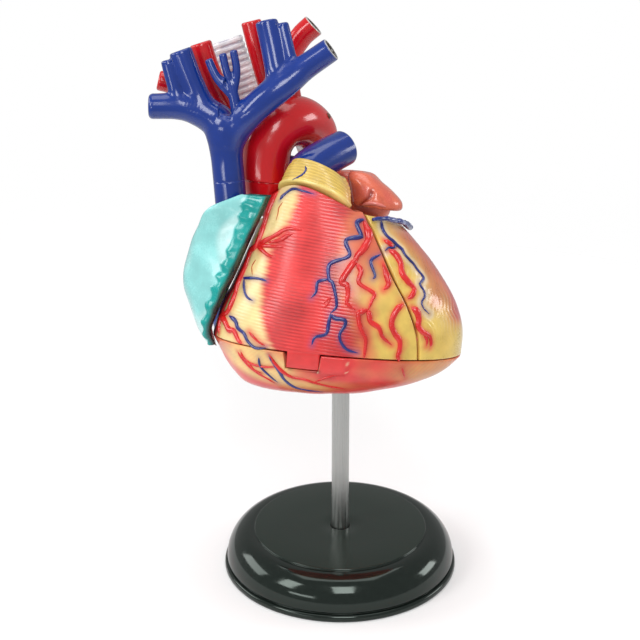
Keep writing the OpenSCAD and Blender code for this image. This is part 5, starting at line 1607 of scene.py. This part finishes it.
def build_stage(stage):
    """Pale round floor that fades into a white surround, the soft boxes, and the camera of the photograph."""
    scene = bpy.context.scene
    a = np.linspace(0, 2 * math.pi, 128, endpoint=False)
    rings = np.array([np.stack([r * np.cos(a), r * np.sin(a), 0 * a], -1) for r in FLOOR_RINGS])
    mesh = bpy.data.meshes.new("floor")
    points = rings.reshape(-1, 3)
    faces = grid_quads(len(rings), len(a), around=True)[:, ::-1]
    mesh.from_pydata(points.tolist(), [], faces.tolist())
    ground = bpy.data.objects.new("floor", mesh)
    scene.collection.objects.link(ground)
    material = bpy.data.materials.new("floor")
    material.use_nodes = True
    tree = material.node_tree
    shader = tree.nodes["Principled BSDF"]
    shader.inputs["Base Color"].default_value = (stage.floor_tone, stage.floor_tone, stage.floor_tone, 1)
    shader.inputs["Roughness"].default_value = 0.6
    shader.inputs["Specular IOR Level"].default_value = 0.1
    seen = node(tree, "ShaderNodeLightPath")
    glow = node(tree, "ShaderNodeMath", [(0, seen.outputs["Is Camera Ray"])], operation="MULTIPLY", in_1=stage.glow)
    shader.inputs["Emission Color"].default_value = (1, 1, 1, 1)
    tree.links.new(glow.outputs[0], shader.inputs["Emission Strength"])
    place = node(tree, "ShaderNodeTexCoord").outputs["Object"]
    length = node(tree, "ShaderNodeVectorMath", [(0, place)], operation="LENGTH")
    fade = node(tree, "ShaderNodeMapRange", [(0, length.outputs["Value"])], in_1=0.045, in_2=0.3, in_3=1.0, in_4=0.0,
                interpolation_type="SMOOTHERSTEP")
    tree.links.new(fade.outputs[0], shader.inputs["Alpha"])
    mesh.materials.append(material)

    world = bpy.data.worlds.new("surround")
    world.use_nodes = True
    scene.world = world
    tree = world.node_tree
    back = tree.nodes["Background"]
    seen = node(tree, "ShaderNodeLightPath")
    strength = node(tree, "ShaderNodeMapRange", [(0, seen.outputs["Is Camera Ray"])], in_1=0.0, in_2=1.0,
                    in_3=stage.surround, in_4=1.0)
    tree.links.new(strength.outputs[0], back.inputs["Strength"])
    back.inputs["Color"].default_value = (1, 1, 1, 1)

    lamps = [soft_box(name, at, FOCUS, wide, high, getattr(stage, watts))
             for name, at, wide, high, watts in SOFT_BOXES]
    camera = bpy.data.objects.new("camera", bpy.data.cameras.new("camera"))
    camera.data.sensor_width = SENSOR
    camera.data.lens = SENSOR * FOCAL_PIXELS / IMAGE_SIZE
    camera.data.clip_start = 0.01
    camera.location = CAMERA_AT * MM
    camera.rotation_euler = (math.pi / 2 - CAMERA_PITCH, 0, 0)
    scene.collection.objects.link(camera)
    scene.camera = camera
    scene.view_settings.view_transform = "Standard"


# ---------------------------------------------------------------- add-on

class HeartSizes(bpy.types.PropertyGroup):
    """Mesh densities of the pieces."""
    wall_rows: IntProperty(name="Wall rows", description="Rows of a ventricle wall's grid", default=236,
                           min=60, max=320)
    wall_cols: IntProperty(name="Wall columns", description="Columns of the front wall's grid", default=170,
                           min=60, max=260)
    stand_sides: IntProperty(name="Stand sides", description="Points round the stand", default=256,
                             min=64, max=512)
    melt_size: FloatProperty(name="Melt size", description="Voxel that joins the vein tree, in mm", default=0.21,
                             min=0.15, max=0.6)


class HeartStage(bpy.types.PropertyGroup):
    """Light and floor."""
    floor_tone: FloatProperty(name="Floor tone", description="Reflectance of the floor", default=0.86, min=0, max=1,
                              subtype="FACTOR")
    glow: FloatProperty(name="Floor glow", description="What the floor adds for the camera alone", default=0.12, min=0,
                        max=1, subtype="FACTOR")
    surround: FloatProperty(name="Surround", description="Strength of the surround's own light", default=0.42, min=0,
                            max=3)
    key_watts: FloatProperty(name="Key box", description="Power of the box over the camera", default=1.4, min=0,
                             unit="POWER")
    left_watts: FloatProperty(name="Left box", description="Power of the left box", default=1.0, min=0, unit="POWER")
    window_watts: FloatProperty(name="Window", description="Power of the far left box", default=0.9, min=0,
                                unit="POWER")
    low_watts: FloatProperty(name="Low box", description="Power of the low box at the front", default=0.25, min=0,
                             unit="POWER")
    right_watts: FloatProperty(name="Right box", description="Power of the right box", default=0.7, min=0,
                               unit="POWER")
    top_watts: FloatProperty(name="Top box", description="Power of the box overhead", default=1.25, min=0,
                             unit="POWER")


def step(name, label, doc, build, group="heart_sizes"):
    """Operator class that runs one builder with its settings."""

    def execute(self, context):
        build(getattr(context.scene, group))
        return {"FINISHED"}

    return type("HEART_OT_" + name, (bpy.types.Operator,),
                {"bl_idname": "heart." + name, "bl_label": label, "__doc__": doc, "execute": execute})


STEPS = [
    step("stage", "Stage", "Add the floor, the soft boxes and the camera", build_stage, "heart_stage"),
    step("stand", "Stand", "Build the stand and its rod", build_stand),
    step("floor", "Floor of the ventricles", "Build the lowest piece of the heart", build_floor),
    step("front_wall", "Front wall", "Build the right ventricle's wall", build_front_wall),
    step("side_wall", "Side wall", "Build the left ventricle's wall", build_side_wall),
    step("rear_wall", "Rear wall", "Build the rear of the ventricles", build_rear_wall),
    step("cap", "Cap and trunk", "Build the yellow cap and the pulmonary trunk", build_cap),
    step("right_auricle", "Right auricle", "Build the aqua auricle", build_right_auricle),
    step("left_auricle", "Left auricle", "Build the salmon auricle", build_left_auricle),
    step("atria", "Atria", "Build the chambers and vessels behind", build_atria),
    step("arteries", "Arteries", "Build the aorta and its branches", build_arteries),
    step("veins", "Veins", "Build the tree of the upper veins", build_veins),
    step("windpipe", "Windpipe", "Build the windpipe and its fork", build_windpipe),
    step("inside", "Inside", "Paint the septum, the crown and the valves", paint_inside)]


class HEART_PT_panel(bpy.types.Panel):
    """Lists the steps that build the model."""
    bl_idname = "HEART_PT_panel"
    bl_label = "Heart model"
    bl_space_type = "VIEW_3D"
    bl_region_type = "UI"
    bl_category = "Heart"

    def draw(self, context):
        for group in (context.scene.heart_sizes, context.scene.heart_stage):
            for key in group.bl_rna.properties.keys():
                if key not in ("rna_type", "name"):
                    self.layout.prop(group, key)
        for made in STEPS:
            self.layout.operator(made.bl_idname)


CLASSES = [HeartSizes, HeartStage, *STEPS, HEART_PT_panel]


def register():
    for made in CLASSES:
        bpy.utils.register_class(made)
    bpy.types.Scene.heart_sizes = PointerProperty(type=HeartSizes)
    bpy.types.Scene.heart_stage = PointerProperty(type=HeartStage)


def unregister():
    del bpy.types.Scene.heart_stage
    del bpy.types.Scene.heart_sizes
    for made in reversed(CLASSES):
        bpy.utils.unregister_class(made)


def main():
    register()
    mix_paints()
    draw_lines()
    for made in STEPS:
        getattr(bpy.ops.heart, made.bl_idname.split(".")[1])()


if __name__ == "__main__":
    main()
